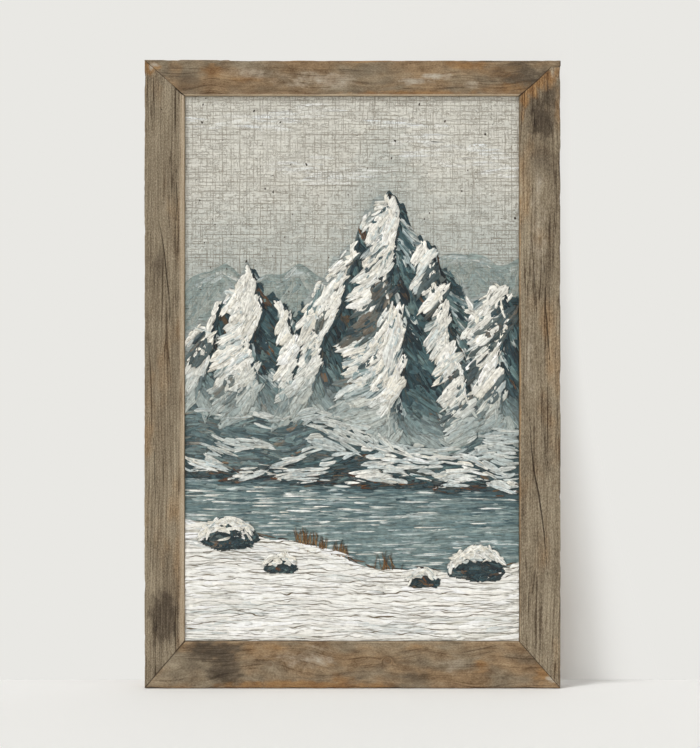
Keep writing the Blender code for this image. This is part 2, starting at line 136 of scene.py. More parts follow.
def spread(value, low, high, newLow=0.0, newHigh=1.0, smooth=True):
    # low to high becomes newLow to newHigh, held at both ends
    inputs = dict(enumerate((value, low, high, newLow, newHigh)))
    kind = "SMOOTHSTEP" if smooth else "LINEAR"
    return addNode(value.tree, "ShaderNodeMapRange", inputs, interpolation_type=kind)


def cloud(vector, stretch=(1, 1, 1), detail=3.0, rough=0.55, warp=0.0, w=None):
    # noise on stretched coordinates
    vector = vectorCalc("MULTIPLY", vector, stretch)
    inputs = {"Vector": vector, "Scale": 1.0, "Detail": detail, "Roughness": rough, "Distortion": warp}
    if w is not None:
        inputs["W"] = w
    return addNode(vector.tree, "ShaderNodeTexNoise", inputs, noise_dimensions="3D" if w is None else "4D")


def mixColour(share, first, second):
    inputs = {0: share, 6: first, 7: second}
    return addNode(treeOf(share, first, second), "ShaderNodeMix", inputs, output=2, data_type="RGBA")


def mixShader(share, first, second):
    return addNode(share.tree, "ShaderNodeMixShader", {0: share, 1: first, 2: second})


def ramp(value, stops):
    made = addNode(value.tree, "ShaderNodeValToRGB", {0: value})
    elements = made.socket.node.color_ramp.elements
    while len(elements) < len(stops):
        elements.new(0.5)
    for element, (place, colour) in zip(elements, stops):
        element.position = place
        element.color = colour
    return made


def rgb(red, green, blue):  # a screen colour, 0 to 255, as a shader wants it
    channels = [c / 255 for c in (red, green, blue)]
    return (*[c / 12.92 if c <= 0.04045 else ((c + 0.055) / 1.055) ** 2.4 for c in channels], 1.0)


def shades(value, *stops):  # a ramp whose stops are a place and a screen colour
    return ramp(value, [(place, rgb(*colour)) for place, *colour in stops])


def newMaterial(name, roughness=0.6, metallic=0.0, specular=0.5):
    material = bpy.data.materials.new(name)
    material.use_nodes = True
    shader = material.node_tree.nodes["Principled BSDF"]
    shader.inputs["Roughness"].default_value = roughness
    shader.inputs["Metallic"].default_value = metallic
    shader.inputs["Specular IOR Level"].default_value = specular
    return material, material.node_tree, shader


def surfaceOf(tree):
    return next(n for n in tree.nodes if n.bl_idname == "ShaderNodeOutputMaterial").inputs["Surface"]


def coat(shader, colour, height, depth, strength, roughness=None):
    # ties a finish to its shader: the colour, the bump and, where it varies, the roughness
    tree = colour.tree
    bump = addNode(tree, "ShaderNodeBump", {"Height": height, "Distance": depth, "Strength": strength})
    for name, value in (("Base Color", colour), ("Normal", bump), ("Roughness", roughness)):
        if value is not None:
            tree.links.new(value.socket, shader.inputs[name])


def objectPlace(tree):
    return addNode(tree, "ShaderNodeTexCoord", output="Object")


def readAttribute(tree, name, output="Fac"):
    return addNode(tree, "ShaderNodeAttribute", output=output, attribute_name=name)


# mesh helpers
def noiseAt(x, y, z):
    return noise.noise(Vector((x, y, z)))


def meshObject(name, verts, faces, material=None):
    mesh = bpy.data.meshes.new(name)
    mesh.from_pydata([tuple(v) for v in verts], [], faces)
    mesh.update()
    made = bpy.data.objects.new(name, mesh)
    bpy.context.scene.collection.objects.link(made)
    if material:
        mesh.materials.append(material)
    return made


def loft(rings):
    # faces from each closed ring of vertex numbers to the next; a ring of one vertex is a pole
    faces = []
    for first, second in zip(rings, rings[1:]):
        for i in range(max(len(first), len(second))):
            j = i + 1
            a, b = first[i % len(first)], first[j % len(first)]
            c, d = second[j % len(second)], second[i % len(second)]
            faces.append(tuple(dict.fromkeys((a, b, c, d))))
    return faces


def spun(profile, sides, place):
    # points and rings of a turned shape; a radius of 0 is a pole
    verts, rings = [], []
    for radius, level in profile:
        count = sides if radius else 1
        rings.append(range(len(verts), len(verts) + count))
        verts += [place(radius, level, 2 * math.pi * i / sides) for i in range(count)]
    return verts, rings


def gridFaces(columns, rows):  # a grid of vertices numbered up each column in turn
    across = rows + 1
    corners = [i * across + j for i in range(columns) for j in range(rows)]
    return [(a, a + across, a + across + 1, a + 1) for a in corners]


def gridRim(columns, rows):  # the border of such a grid, once round
    across = rows + 1
    rim = [i * across for i in range(columns + 1)] + [columns * across + j for j in range(1, rows + 1)]
    return rim + [i * across + rows for i in range(columns - 1, -1, -1)] + list(range(rows - 1, 0, -1))


def outwardFaces(obj):
    shape = bmesh.new()
    shape.from_mesh(obj.data)
    bmesh.ops.recalc_face_normals(shape, faces=shape.faces)
    shape.to_mesh(obj.data)
    shape.free()


def setAttribute(obj, name, values, domain="POINT"):
    values = np.asarray(values, np.float32)
    kinds = {1: ("FLOAT", "value"), 3: ("FLOAT_VECTOR", "vector"), 4: ("FLOAT_COLOR", "color")}
    kind, field = kinds[values.size // len(values)]
    obj.data.attributes.new(name, kind, domain).data.foreach_set(field, values.ravel())


def smoothShade(obj, angle=None):
    obj.data.shade_smooth()
    if angle is not None:
        obj.data.set_sharp_from_angle(angle=math.radians(angle))


def keepResult(obj):  # makes what the modifiers give the object's own mesh
    obj.update_tag()
    graph = bpy.context.evaluated_depsgraph_get()
    plain = bpy.data.meshes.new_from_object(obj.evaluated_get(graph))
    plain.name = obj.name
    obj.modifiers.clear()
    obj.data = plain


# geometry node helpers
def newTree(name, sizes, pattern=None):
    # the inputs are the geometry, each size, an object to repeat, and a material
    tree = bpy.data.node_groups.new(name, "GeometryNodeTree")
    labels = [("Geometry", "Geometry"), *[(size, "Float") for size in sizes]]
    labels += [(pattern, "Object")] * bool(pattern) + [("Material", "Material")]
    for label, kind in labels:
        socket = tree.interface.new_socket(label, in_out="INPUT", socket_type="NodeSocket" + kind)
        if kind == "Float":
            socket.default_value = float(sizes[label])
    tree.interface.new_socket("Geometry", in_out="OUTPUT", socket_type="NodeSocketGeometry")
    inputs = tree.nodes.new("NodeGroupInput").outputs
    return tree, {label: Field(tree, inputs[label]) for label, _ in labels}


def named(tree, name, kind="FLOAT"):
    inputs = {"Name": name}
    return addNode(tree, "GeometryNodeInputNamedAttribute", inputs, output="Attribute", data_type=kind)


def stored(geometry, name, value, kind="FLOAT", domain="POINT"):
    inputs = {"Geometry": geometry, "Name": name, "Value": value}
    return addNode(value.tree, "GeometryNodeStoreNamedAttribute", inputs, data_type=kind, domain=domain)


def repeated(tree, start, pattern, **inputs):  # the pattern on each point, as real geometry
    shape = addNode(tree, "GeometryNodeObjectInfo", {"Object": start[pattern]}, output="Geometry")
    inputs = {"Points": start["Geometry"], "Instance": shape, **inputs}
    laid = addNode(tree, "GeometryNodeInstanceOnPoints", inputs)
    return addNode(tree, "GeometryNodeRealizeInstances", {"Geometry": laid})


def closeTree(geometry, start):
    tree = geometry.tree
    plain = addNode(tree, "GeometryNodeRealizeInstances", {"Geometry": geometry})
    inputs = {"Geometry": plain, "Material": start["Material"]}
    painted = addNode(tree, "GeometryNodeSetMaterial", inputs)
    tree.links.new(painted.socket, tree.nodes.new("NodeGroupOutput").inputs[0])
    return tree


def runTree(obj, tree, settings):  # runs the tree with these settings and leaves a plain mesh
    modifier = obj.modifiers.new(tree.name, "NODES")
    modifier.node_group = tree
    identifiers = {s.name: s.identifier for s in tree.interface.items_tree if s.in_out == "INPUT"}
    for label, value in settings.items():
        modifier[identifiers[label]] = value
    keepResult(obj)


def finishPiece(obj, slot, nodes=()):
    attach(obj, "root")
    if nodes:
        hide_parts(*nodes)
    return obj


# camera, lights and the room
viewSettings = {
    "lens": 100,
    "sensor": 36,
    "pictureHeight": 0.7254,  # metres from the top to the bottom of the view, at the rails' face
    "aim": (-0.0024, 0.3050),
    "clipEnd": 60,
}
lightSettings = {
    "aim": (0, 0, 0.3),
    "sunFrom": (-0.74, -0.66, 0.86),  # the soft main light comes from the upper left, in front
    "sunStrength": 1.96,
    "sunSoftness": math.radians(24),
    "sideLamp": ((3.0, -2.4, 1.6), 10, 2.2),  # place, watts, size
    "world": ((1.0, 0.995, 0.985, 1), 0.47),  # colour, strength
}
roomSettings = {
    "floorRings": (0.0, 0.6, 1.5, 3.0),
    "radius": 6.5,
    "bend": 1.4,  # the floor turns up into the wall with this radius
    "wall": 5.0,
    "steps": 12,
    "sides": 72,
    "under": 0.2 * mm,
    "even": (1.0, 3.0),  # metres from the middle, from where the room starts to look even
    "darkerRight": 0.07,  # evens the wall, which turns towards the light on that side
    "colours": [
        (0.0, (0.955, 0.948, 0.927, 1)), (0.10, (0.82, 0.813, 0.79, 1)), (0.25, (0.74, 0.733, 0.712, 1)),
        (0.5, (0.758, 0.752, 0.73, 1)), (0.85, (0.855, 0.85, 0.83, 1)),
    ],
    "plainColour": rgb(233, 232, 228),
}
nearWallSettings = {
    "away": (3 * mm, 30 * mm),  # how far it is behind the frame, at its top and at its foot
    "colour": (0.865, 0.86, 0.845, 1),  # where it takes the shadow
    "fade": (0.62, 1.15),  # how far from the middle it starts and ends to fade
    "shadowReach": (14 * mm, 105 * mm),  # to the frame's right, at its top and at its foot
    "shadowTop": 0.85,  # share of the frame's height
}


def buildRoom():
    # one smooth bowl: a flat floor that turns up into a far wall
    radius, bend, steps = roomSettings["radius"], roomSettings["bend"], roomSettings["steps"]
    profile = [(across, 0.0) for across in (*roomSettings["floorRings"], radius - bend)]
    for step in range(1, steps + 1):
        turn = math.pi / 2 * step / steps
        profile.append((radius - bend + bend * math.sin(turn), bend - bend * math.cos(turn)))
    profile.append((radius, roomSettings["wall"]))

    def around(across, up, turn):
        return across * math.cos(turn), across * math.sin(turn), up

    verts, rings = spun(profile, roomSettings["sides"], around)
    material, tree, shader = newMaterial("paleRoom", roughness=0.9, specular=0.1)
    x, y, height = split(objectPlace(tree))
    share = height.math("MULTIPLY", 0.5, clamp=True)  # 0 at the floor, 1 at 2 m
    toRight = spread(x, -1.5, 1.5, 0, roomSettings["darkerRight"])
    colour = mixColour(toRight, ramp(share, roomSettings["colours"]), (0, 0, 0, 1))
    tree.links.new(colour.socket, shader.inputs["Base Color"])
    # far off, the camera sees one even colour
    far = spread(vectorCalc("LENGTH", objectPlace(tree)), *roomSettings["even"])
    seen = addNode(tree, "ShaderNodeLightPath", output="Is Camera Ray")
    plain = addNode(tree, "ShaderNodeEmission", {0: roomSettings["plainColour"]})
    mixed = mixShader(far * seen, Field(tree, shader.outputs[0]), plain)
    tree.links.new(mixed.socket, surfaceOf(tree))
    room = meshObject("room", verts, loft(rings), material)
    room.location.z = -roomSettings["under"]
    room.visible_shadow = False  # the walls don't keep the light out
    smoothShade(room)


def buildNearWall():
    # takes the frame's soft shadow; seen from behind it isn't there, and it keeps no light out
    topAway, footAway = nearWallSettings["away"]
    fade, shadowTop = nearWallSettings["fade"], nearWallSettings["shadowTop"]
    reach, height = fade[1] + 0.05, fade[1] + 0.35
    slope = (footAway - topAway) / frameTop
    corners = [(-reach, 0), (reach, 0), (reach, height), (-reach, height)]
    verts = [(x, cadBox[1][1] + footAway - slope * z, z) for x, z in corners]
    material, tree, shader = newMaterial("nearWall", roughness=0.9, specular=0.1)
    shader.inputs["Base Color"].default_value = nearWallSettings["colour"]
    away = vectorCalc("LENGTH", vectorCalc("SUBTRACT", objectPlace(tree), lightSettings["aim"]))
    behind = addNode(tree, "ShaderNodeNewGeometry", output="Backfacing")
    x, y, z = split(objectPlace(tree))
    low = spread(z, shadowTop * frameTop, 0.0, smooth=False)
    width = spread(low * low, 0, 1, *nearWallSettings["shadowReach"], smooth=False)
    beside = (x - frameRight) / width
    shaded = spread(beside, 1, 0) * spread(low, 0, shadowTop, 0.1, 1, smooth=False) * spread(x, 0.0, 0.12)
    plain = addNode(tree, "ShaderNodeEmission", {0: roomSettings["plainColour"]})
    clear = addNode(tree, "ShaderNodeBsdfTransparent")
    front = mixShader(shaded, plain, Field(tree, shader.outputs[0]))
    mixed = mixShader(spread(away, *fade).math("MAXIMUM", behind), front, clear)
    tree.links.new(mixed.socket, surfaceOf(tree))
    wall = meshObject("near_wall", verts, [(0, 1, 2, 3)], material)
    wall.visible_shadow = wall.visible_diffuse = wall.visible_glossy = wall.visible_transmission = False


def buildCameraAndLights():
    scene = bpy.context.scene
    data = bpy.data.cameras.new("camera")
    data.lens = viewSettings["lens"]
    data.sensor_fit = "VERTICAL"
    data.sensor_height = data.sensor_width = viewSettings["sensor"]
    data.clip_end = viewSettings["clipEnd"]
    camera = bpy.data.objects.new("camera", data)
    away = viewSettings["pictureHeight"] * viewSettings["lens"] / viewSettings["sensor"]
    camera.location = (viewSettings["aim"][0], frontY - away, viewSettings["aim"][1])
    camera.rotation_euler = (math.pi / 2, 0, 0)
    scene.collection.objects.link(camera)
    scene.camera = camera
    sun = bpy.data.lights.new("softSun", "SUN")
    sun.energy, sun.angle = lightSettings["sunStrength"], lightSettings["sunSoftness"]
    place, power, size = lightSettings["sideLamp"]
    side = bpy.data.lights.new("sideLamp", "AREA")
    side.energy, side.size = power, size
    for lamp, start in ((sun, Vector(lightSettings["sunFrom"]) * 4), (side, Vector(place))):
        holder = bpy.data.objects.new(lamp.name, lamp)
        holder.location = start
        holder.rotation_euler = (Vector(lightSettings["aim"]) - start).to_track_quat("-Z", "Y").to_euler()
        scene.collection.objects.link(holder)
    world = bpy.data.worlds.new("paleWorld")
    world.use_nodes = True
    for socket, value in zip(world.node_tree.nodes["Background"].inputs, lightSettings["world"]):
        socket.default_value = value
    scene.world = world
    scene.view_settings.view_transform = "Standard"


buildRoom()
buildNearWall()
buildCameraAndLights()
print("room, camera and lights are set")


# weathered wood rails
# Spots lie at (along, across) in millimetres: along from the rail's left or bottom end, across
# from its outer edge. Each has a half length, a half width and a strength.
# figure is how much straight grain shows through the mottled, cloudy surface.
# lip is how strongly the sight edge's bevel is painted lighter: partly worn wood, partly painted light where
# the bevel faces away from the sun.
railSettings = {
    "rail_top": {
        "seed": 3.1,
        "curl": 7.5,
        "warmth": 0.42,
        "figure": 0.35,
        "seams": {"stop": [(0, 0), (6.6, 0), (7.2, 9), (20, 22.5), (35, 40)]},
        "tight": (0.15, 0.4),
        "joint": (0.35, 0.65),  # half widths of the dark line at its ends, in millimetres
        "planed": (82, 0.8),  # past this place its edge is this much lower
        "lip": 0.95,
        "stain": [
            (46, 20, 18, 13, 0.5), (366, 17, 34, 22, 0.75), (222, 13, 34, 9, 0.28), (64, 9, 13, 7, 0.5),
            (128, 30, 60, 4, 0.3),
        ],
        "rust": [
            (8, 9, 9, 7, 1.0), (30, 7, 9, 9, 0.4), (64, 12, 14, 8, 0.75), (98, 19, 26, 3, 0.5),
            (314, 5, 26, 6, 0.85), (258, 33, 64, 3.5, 0.8), (205, 1, 70, 1.8, 0.9), (352, 28, 24, 7, 0.6),
            (340, 12, 30, 10, 0.4),
        ],
        "lime": [
            (104, 13, 26, 5, 0.45), (170, 20, 34, 9, 0.5), (262, 21, 16, 3.2, 0.9), (283, 16, 14, 3, 0.9),
            (317, 24, 9, 4, 0.45), (9, 5, 5, 2, 0.9),
        ],
        "knots": [(66, 12, 3.2)],  # along, across, radius
    },
    "rail_bottom": {
        "seed": 7.7,
        "curl": 9.0,
        "warmth": 0.5,
        "figure": 0.35,
        "tight": (0.6, 0.6),
        "joint": (0.6, 0.35),
        "lip": 0.25,
        "stain": [
            (64, 34, 34, 13, 1.0), (79, 15, 20, 13, 0.95), (48, 22, 18, 16, 0.5), (268, 10, 18, 8, 0.5),
            (205, 36, 14, 5, 0.4), (186, 24, 8, 6, 0.35), (372, 27, 20, 5, 0.4),
        ],
        "rust": [
            (160, 3, 84, 4.5, 1.0), (196, 8, 22, 7, 0.7), (128, 40, 14, 5, 0.6), (262, 39, 13, 6, 0.6),
            (325, 24, 9, 9, 0.8), (389, 13, 14, 9, 1.0), (104, 38, 8, 6, 0.4), (230, 30, 26, 8, 0.35),
        ],
        "lime": [
            (158, 28, 26, 10, 0.5), (300, 22, 24, 8, 0.35), (396, 9, 7, 3.4, 1.0), (128, 31, 16, 3, 0.45),
        ],
        "knots": [(236, 27, 4.2), (122, 24, 2.6)],
    },
    "rail_left": {
        "seed": 12.9,
        "curl": 0.9,
        "warmth": 0.10,
        "figure": 1.0,
        "tight": (0.6, 0.15),
        "joint": (0.6, 0.35),
        "lip": 1.0,
        "stain": [(70, 19, 30, 13, 1.0), (410, 14, 22, 7, 0.5), (430, 30, 12, 3, 0.4), (12, 12, 14, 10, 0.4)],
        "rust": [(601, 5, 8, 7, 1.0), (580, 14, 16, 8, 0.25)],
        "lime": [(603, 7, 3.5, 2.5, 0.9)],
        "checks": [  # the line of each, and its half width
            ([(457, 13.6), (440, 17), (424, 19.4), (394, 22.6), (376, 24.6), (338, 25.4)], 0.55),
            ([(505, 31), (470, 32), (446, 30.5)], 0.4),
            ([(250, 9), (214, 10.2), (180, 10)], 0.35),
            ([(584.5, 28.5), (579, 34.5), (575.3, 38.8)], 1.15),
        ],
        "nailHole": (561.5, 16.6, 0.9),
    },
    "rail_right": {
        "seed": 21.4,
        "curl": 1.1,
        "warmth": 0.12,
        "figure": 1.0,
        "seams": {"stop": [(0, 6.62), (9, 6.62), (22.5, 20), (40, 35)]},
        "tight": (0.6, 0.1),
        "joint": (0.35, 0.65),
        "lip": 0.12,
        "stain": [
            (551, 20, 24, 15, 1.0), (570, 12, 14, 9, 0.7), (518, 20, 24, 15, 0.45), (398, 12, 26, 8, 0.35),
            (172, 37, 12, 2.5, 0.5), (110, 16, 80, 16, 0.22),
        ],
        "rust": [
            (573, 36, 10, 6, 0.95), (581, 28, 8, 8, 1.0), (587, 20, 8, 8, 0.95), (593, 12, 8, 7, 0.8),
            (598, 4, 6, 6, 0.6), (556, 37, 18, 3, 0.5), (556, 3, 26, 3.5, 0.4), (300, 39.6, 290, 1.1, 0.6),
        ],
        "lime": [(440, 22, 50, 9, 0.35), (598, 8, 5, 2, 0.35), (330, 30, 40, 7, 0.25)],
        "knots": [(199, 5.4, 1.7), (219, 9.5, 1.3)],
        "checks": [
            ([(262, 30), (230, 28), (206, 25), (189, 21.4), (170, 18.6), (150, 16), (108, 12.6)], 0.85),
            ([(409, 15.5), (372, 14.8), (340, 12.2), (303, 9.5)], 0.5),
            ([(420, 26), (392, 25.2), (366, 24.6)], 0.35),
        ],
        "nicks": [(186, 3.0, 0.9), (507, 12, 0.6)],  # place, half length, depth
    },
}
railShape = {
    "step": 1.45 * mm,  # along a rail
    "faceStep": 0.52 * mm,  # across its face
    "sideStep": 2.4 * mm,  # across what is hidden or plain
    "endRows": [0, 0.2, 0.45, 0.75, 1.1, 1.6, 2.3, 3.3, 4.6],  # millimetres from an end
    "endReach": 12 * mm,  # this near an end, the rows keep their distance from it
    "lipThickness": 5.5 * mm,
    "lipCover": 6.5 * mm,
    "mitreGap": 0.2 * mm,
    "edgeRadius": 1.5 * mm,
    "bevels": {"rail_top": 1.5 * mm, "rail_bottom": 1.5 * mm, "rail_left": 4.5 * mm, "rail_right": 2.0 * mm},
    "widths": {
        "rail_top": frameTop - sightTop,
        "rail_bottom": sightBottom,
        "rail_left": sightLeft - frameLeft,
        "rail_right": frameRight - sightRight,
    },
    # where each outer edge is, and the way into the frame from there
    "edges": {
        "rail_top": (frameTop, -1),
        "rail_bottom": (0.0, 1),
        "rail_left": (frameLeft, 1),
        "rail_right": (frameRight, -1),
    },
}


def roundedPath(corners):
    # points along a closed outline whose corners are (across, depth, radius, step to the next corner)
    path = []
    for i, (_, _, radius, step) in enumerate(corners):
        following = corners[(i + 1) % len(corners)]
        before, here, after = Vector(corners[i - 1][:2]), Vector(corners[i][:2]), Vector(following[:2])
        onward = (after - here).normalized()
        start, end = here + (before - here).normalized() * radius, here + onward * radius
        shares = [k / 3 for k in range(4)] if radius else [0]
        path += [start * (1 - t) ** 2 + here * 2 * t * (1 - t) + end * t * t for t in shares]
        first, target = path[-1], after - onward * following[2]
        pieces = max(1, round((target - first).length / step))
        path += [first.lerp(target, k / pieces) for k in range(1, pieces)]
    return np.array([tuple(p) for p in path])


def railOutline(name, width):
    bevel, lip, cover = railShape["bevels"][name], railShape["lipThickness"], railShape["lipCover"]
    depth, fine, coarse = backY - frontY, railShape["faceStep"], railShape["sideStep"]
    return roundedPath([
        (0, 0, railShape["edgeRadius"], fine),
        (width - bevel, 0, 0.8 * mm, fine),
        (width, bevel * 0.5, 0.5 * mm, 0.8 * mm),
        (width, lip, 0.3 * mm, coarse),
        (width - cover, lip, 0, coarse),
        (width - cover, depth, 0.5 * mm, coarse),
        (0, depth, 1.0 * mm, coarse),
    ])


def endSpaced(length):  # stations along a rail, closer together near its ends
    near = np.array(railShape["endRows"]) * mm
    plain = length - 2 * near[-1]
    middle = np.linspace(near[-1], length - near[-1], max(2, round(plain / railShape["step"])))
    return np.concatenate([near[:-1], middle, length - near[:-1][::-1]])


def endCap(outline, first, turned):
    # closes a rail's end, sewn from its face to its back so that a stepped end stays whole
    last = int(np.argmax(outline[:, 0] + outline[:, 1] * 0.01))
    face, back = list(range(last + 1)), [0] + list(range(len(outline) - 1, last - 1, -1))
    made, i, j = [], 0, 0
    while i < len(face) - 1 or j < len(back) - 1:
        nextFace = outline[face[i + 1], 0] if i < len(face) - 1 else math.inf
        nextBack = outline[back[j + 1], 0] if j < len(back) - 1 else math.inf
        if nextFace <= nextBack:
            corners = (face[i], face[i + 1], back[j])
            i += 1
        else:
            corners = (face[i], back[j + 1], back[j])
            j += 1
        if len(set(corners)) == 3:
            made.append(tuple(first + c for c in (corners[::-1] if turned else corners)))
    return made


def softSpot(along, across, spots, wobble):
    total = np.zeros_like(along)
    for centre, line, halfLength, halfWidth, strength in spots:
        reach = np.hypot((along / mm - centre) / halfLength, (across / mm - line) / halfWidth)
        edge = np.clip((1.5 - reach + 0.6 * wobble) / 1.5, 0, 1)
        total = np.maximum(total, strength * edge * edge * (3 - 2 * edge))
    return total


def nearLine(along, across, lines):
    # distance to the nearest check, in units of its own half width
    nearest = np.full_like(along, 9.0)
    for points, width in lines:
        for i, (first, last) in enumerate(zip(points, points[1:])):
            a, b = np.array(first) * mm, np.array(last) * mm
            side = b - a
            share = np.clip(((along - a[0]) * side[0] + (across - a[1]) * side[1]) / (side @ side), 0, 1)
            away = np.hypot(along - a[0] - side[0] * share, across - a[1] - side[1] * share)
            whole = (i + share) / (len(points) - 1)
            taper = np.maximum(0.25, np.sin(np.pi * np.clip(whole, 0.04, 0.96)))  # thin at both ends
            nearest = np.minimum(nearest, away / (width * mm * taper))
    return nearest


def roughAt(along, across, seed, *layers):
    # a layer is its fineness along and across, its own seed and its strength
    return sum(
        strength * np.array([noiseAt(a * fineA, c * fineC, seed + own) for a, c in zip(along, across)])
        for fineA, fineC, own, strength in layers
    )


def wornDepth(facts, along, across, depth, endGap, length):
    # how far wear sinks the surface: along the outer edge, at the mitres and in the nicks
    seed = facts["seed"]
    rough = np.array([noiseAt(a * 55, seed, 3) + 0.5 * noiseAt(a * 170, seed, 8) for a in along])
    rough = np.clip(rough, 0, 1)
    onFace = np.clip(1 - depth / (4 * mm), 0, 1)
    sink = np.exp(-across / (1.4 * mm)) * np.clip(1 - depth / (22 * mm), 0, 1) * rough * 1.1 * mm
    tight = np.where(along < length / 2, *facts["tight"])
    sink += np.exp(-np.maximum(endGap, 0) / (0.5 * mm)) * onFace * tight * (0.12 + 0.5 * rough) * mm
    if "planed" in facts:
        start, deep = facts["planed"]
        sink += np.clip((along / mm - start) / 1.5, 0, 1) * np.exp(-((across / (2 * mm)) ** 4)) * deep * mm
    for centre, halfLength, deep in facts.get("nicks", []):
        bite = np.exp(-(((along / mm - centre) / halfLength) ** 2)) * np.exp(-across / (2.2 * mm))
        sink += bite * deep * mm * np.clip(1 - depth / (14 * mm), 0, 1)
    return sink


def buildRail(name, material):
    facts, seed = railSettings[name], railSettings[name]["seed"]
    level = name in ("rail_top", "rail_bottom")
    others = ("rail_left", "rail_right") if level else ("rail_bottom", "rail_top")
    width, beside = railShape["widths"][name], [railShape["widths"][other] for other in others]
    length = (frameRight - frameLeft) if level else frameTop
    outline = railOutline(name, width)

    # the direction into the wood at each point of the outline
    tangent = np.roll(outline, -1, 0) - np.roll(outline, 1, 0)
    tangent /= np.linalg.norm(tangent, axis=1)[:, None]

    stations = endSpaced(length)
    insets = []
    for end, loose, other in zip(("start", "stop"), facts["tight"], beside):
        seam = facts.get("seams", {}).get(end, [(0, 0), (width / mm, other / mm)])
        gap = railShape["mitreGap"] * loose * math.hypot(width, other) / width
        insets.append(np.interp(outline[:, 0] / mm, *zip(*seam)) * mm + gap)
    starts, stops = insets[0], length - insets[1]
    places = starts + (stations / length)[:, None] * (stops - starts)
    for ends, way, away in ((starts, 1, stations[:, None]), (stops, -1, (length - stations)[:, None])):
        held = np.minimum(away / railShape["endReach"], 1)
        places = places * held + (ends + way * away) * (1 - held)

    def flat(values):  # what each point of the outline has, for all the stations
        return np.broadcast_to(values, places.shape).ravel()

    runs = np.concatenate([[0], np.cumsum(np.linalg.norm(np.diff(outline, axis=0), axis=1))])
    corner = np.argmin(np.abs(outline[:, 0] - railShape["edgeRadius"]) + outline[:, 1] * 9)
    girth = flat(runs - runs[corner] + railShape["edgeRadius"])
    along, across, depth = places.ravel(), flat(outline[:, 0]), flat(outline[:, 1])
    inwardX, inwardY = flat(-tangent[:, 1]), flat(tangent[:, 0])

    # the grain wanders, swirls where the board is curly, and parts round each knot
    line = girth + roughAt(along, girth, seed, (7, 11, 0, 2.4), (19, 34, 5, facts["curl"])) * mm
    wobble = roughAt(along, girth, seed, (45, 70, 9, 0.8), (130, 220, 12, 0.7), (320, 600, 15, 0.4))
    knot = np.zeros_like(line)
    for centre, place, radius in facts.get("knots", []):
        x, y = (along / mm - centre) / radius, (girth / mm - place) / radius
        away = np.hypot(x * 0.8, y)
        line += radius * mm * 1.2 * np.tanh(y * 1.6) * np.exp(-(x / 3.2) ** 2) * np.exp(-np.abs(y) / 4)
        inside = np.clip(1.25 - away, 0, 1)
        line = line * (1 - inside) + (away * radius * mm * 1.6) * inside
        knot = np.maximum(knot, np.clip(1.5 - away, 0, 1))

    beyond = 9 * (depth > 3 * mm)  # checks and holes stay on the face
    check = nearLine(along, across, facts.get("checks", [])) + beyond
    if "nailHole" in facts:
        centre, place, radius = facts["nailHole"]
        check = np.minimum(check, np.hypot(along / mm - centre, across / mm - place) / radius + beyond)
    endGap = np.minimum(along - flat(starts), flat(stops) - along)
    sink = wornDepth(facts, along, across, depth, endGap, length)
    outer, way = railShape["edges"][name]

    def turned(alongs, acrosses, depths):  # from the rail's own directions to x, y and z
        return np.stack((alongs, depths, way * acrosses) if level else (way * acrosses, depths, alongs), 1)

    origin = (frameLeft, frontY, outer) if level else (outer, frontY, 0.0)
    verts = turned(along, across + inwardX * sink, depth + inwardY * sink) + origin
    ringSize = len(outline)
    last = (len(stations) - 1) * ringSize
    faces = loft([range(first, first + ringSize) for first in range(0, last + 1, ringSize)])
    faces += endCap(outline, 0, False) + endCap(outline, last, True)
    rail = meshObject("wood_" + name, verts, faces, material)
    outwardFaces(rail)
    # the lip band at the sight edge: partly lighter worn wood, partly painted light on bevels that face away
    # from the sun
    lip = (across - width) / railShape["bevels"][name] + 1.35
    edge = np.minimum(np.hypot(across, depth), np.hypot(across - width, depth))
    even = np.ones_like(line)
    kept = {
        "grain": np.stack([along, line, even * seed], 1),
        "into": turned(even * 0, inwardX, inwardY),
        **{kind: softSpot(along, across, facts[kind], wobble) for kind in ("stain", "rust", "lime")},
        "check": check,
        "knot": knot,
        "joint": endGap / mm / np.where(along < length / 2, *facts["joint"]),
        "lip": np.clip(lip, 0, 1) * facts["lip"] * (depth < 5 * mm),
        "edge": edge / mm,
        "raw": np.clip((depth - 6 * mm) / (6 * mm), 0, 1),
        "warmth": even * facts["warmth"],
        "figure": even * facts["figure"],
    }
    for label, values in kept.items():
        setAttribute(rail, label, values)
    return rail


grainSettings = {
    "Ridge Depth": 0.20 * mm,
    "Swell Depth": 0.30 * mm,
    "Check Depth": 0.9 * mm,
    "Fibre Pitch": 640.0,
    "Fibre Length": 16.0,
}


def weatherTree():
    # sinks the soft wood between the fibres, opens the checks and lets the board swell and dip
    tree, start = newTree("weatherRail", grainSettings)
    grain = named(tree, "grain", "FLOAT_VECTOR")
    fibre = cloud(grain, combine(start["Fibre Length"], start["Fibre Pitch"], 1.0), rough=0.6)
    swell = cloud(grain, (9, 70, 1), detail=2.0)
    ridges = spread(fibre, 0.62, 0.34) * start["Ridge Depth"]
    waves = spread(swell, 0.65, 0.35) * start["Swell Depth"]
    opened = spread(named(tree, "check"), 1.3, 0.2) * start["Check Depth"]
    deep = (ridges + waves) * spread(named(tree, "raw"), 0.0, 1.0, 1.0, 0.35) + opened
    shift = scaled(named(tree, "into", "FLOAT_VECTOR"), deep)
    moved = addNode(tree, "GeometryNodeSetPosition", {"Geometry": start["Geometry"], "Offset": shift})
    return closeTree(moved, start)


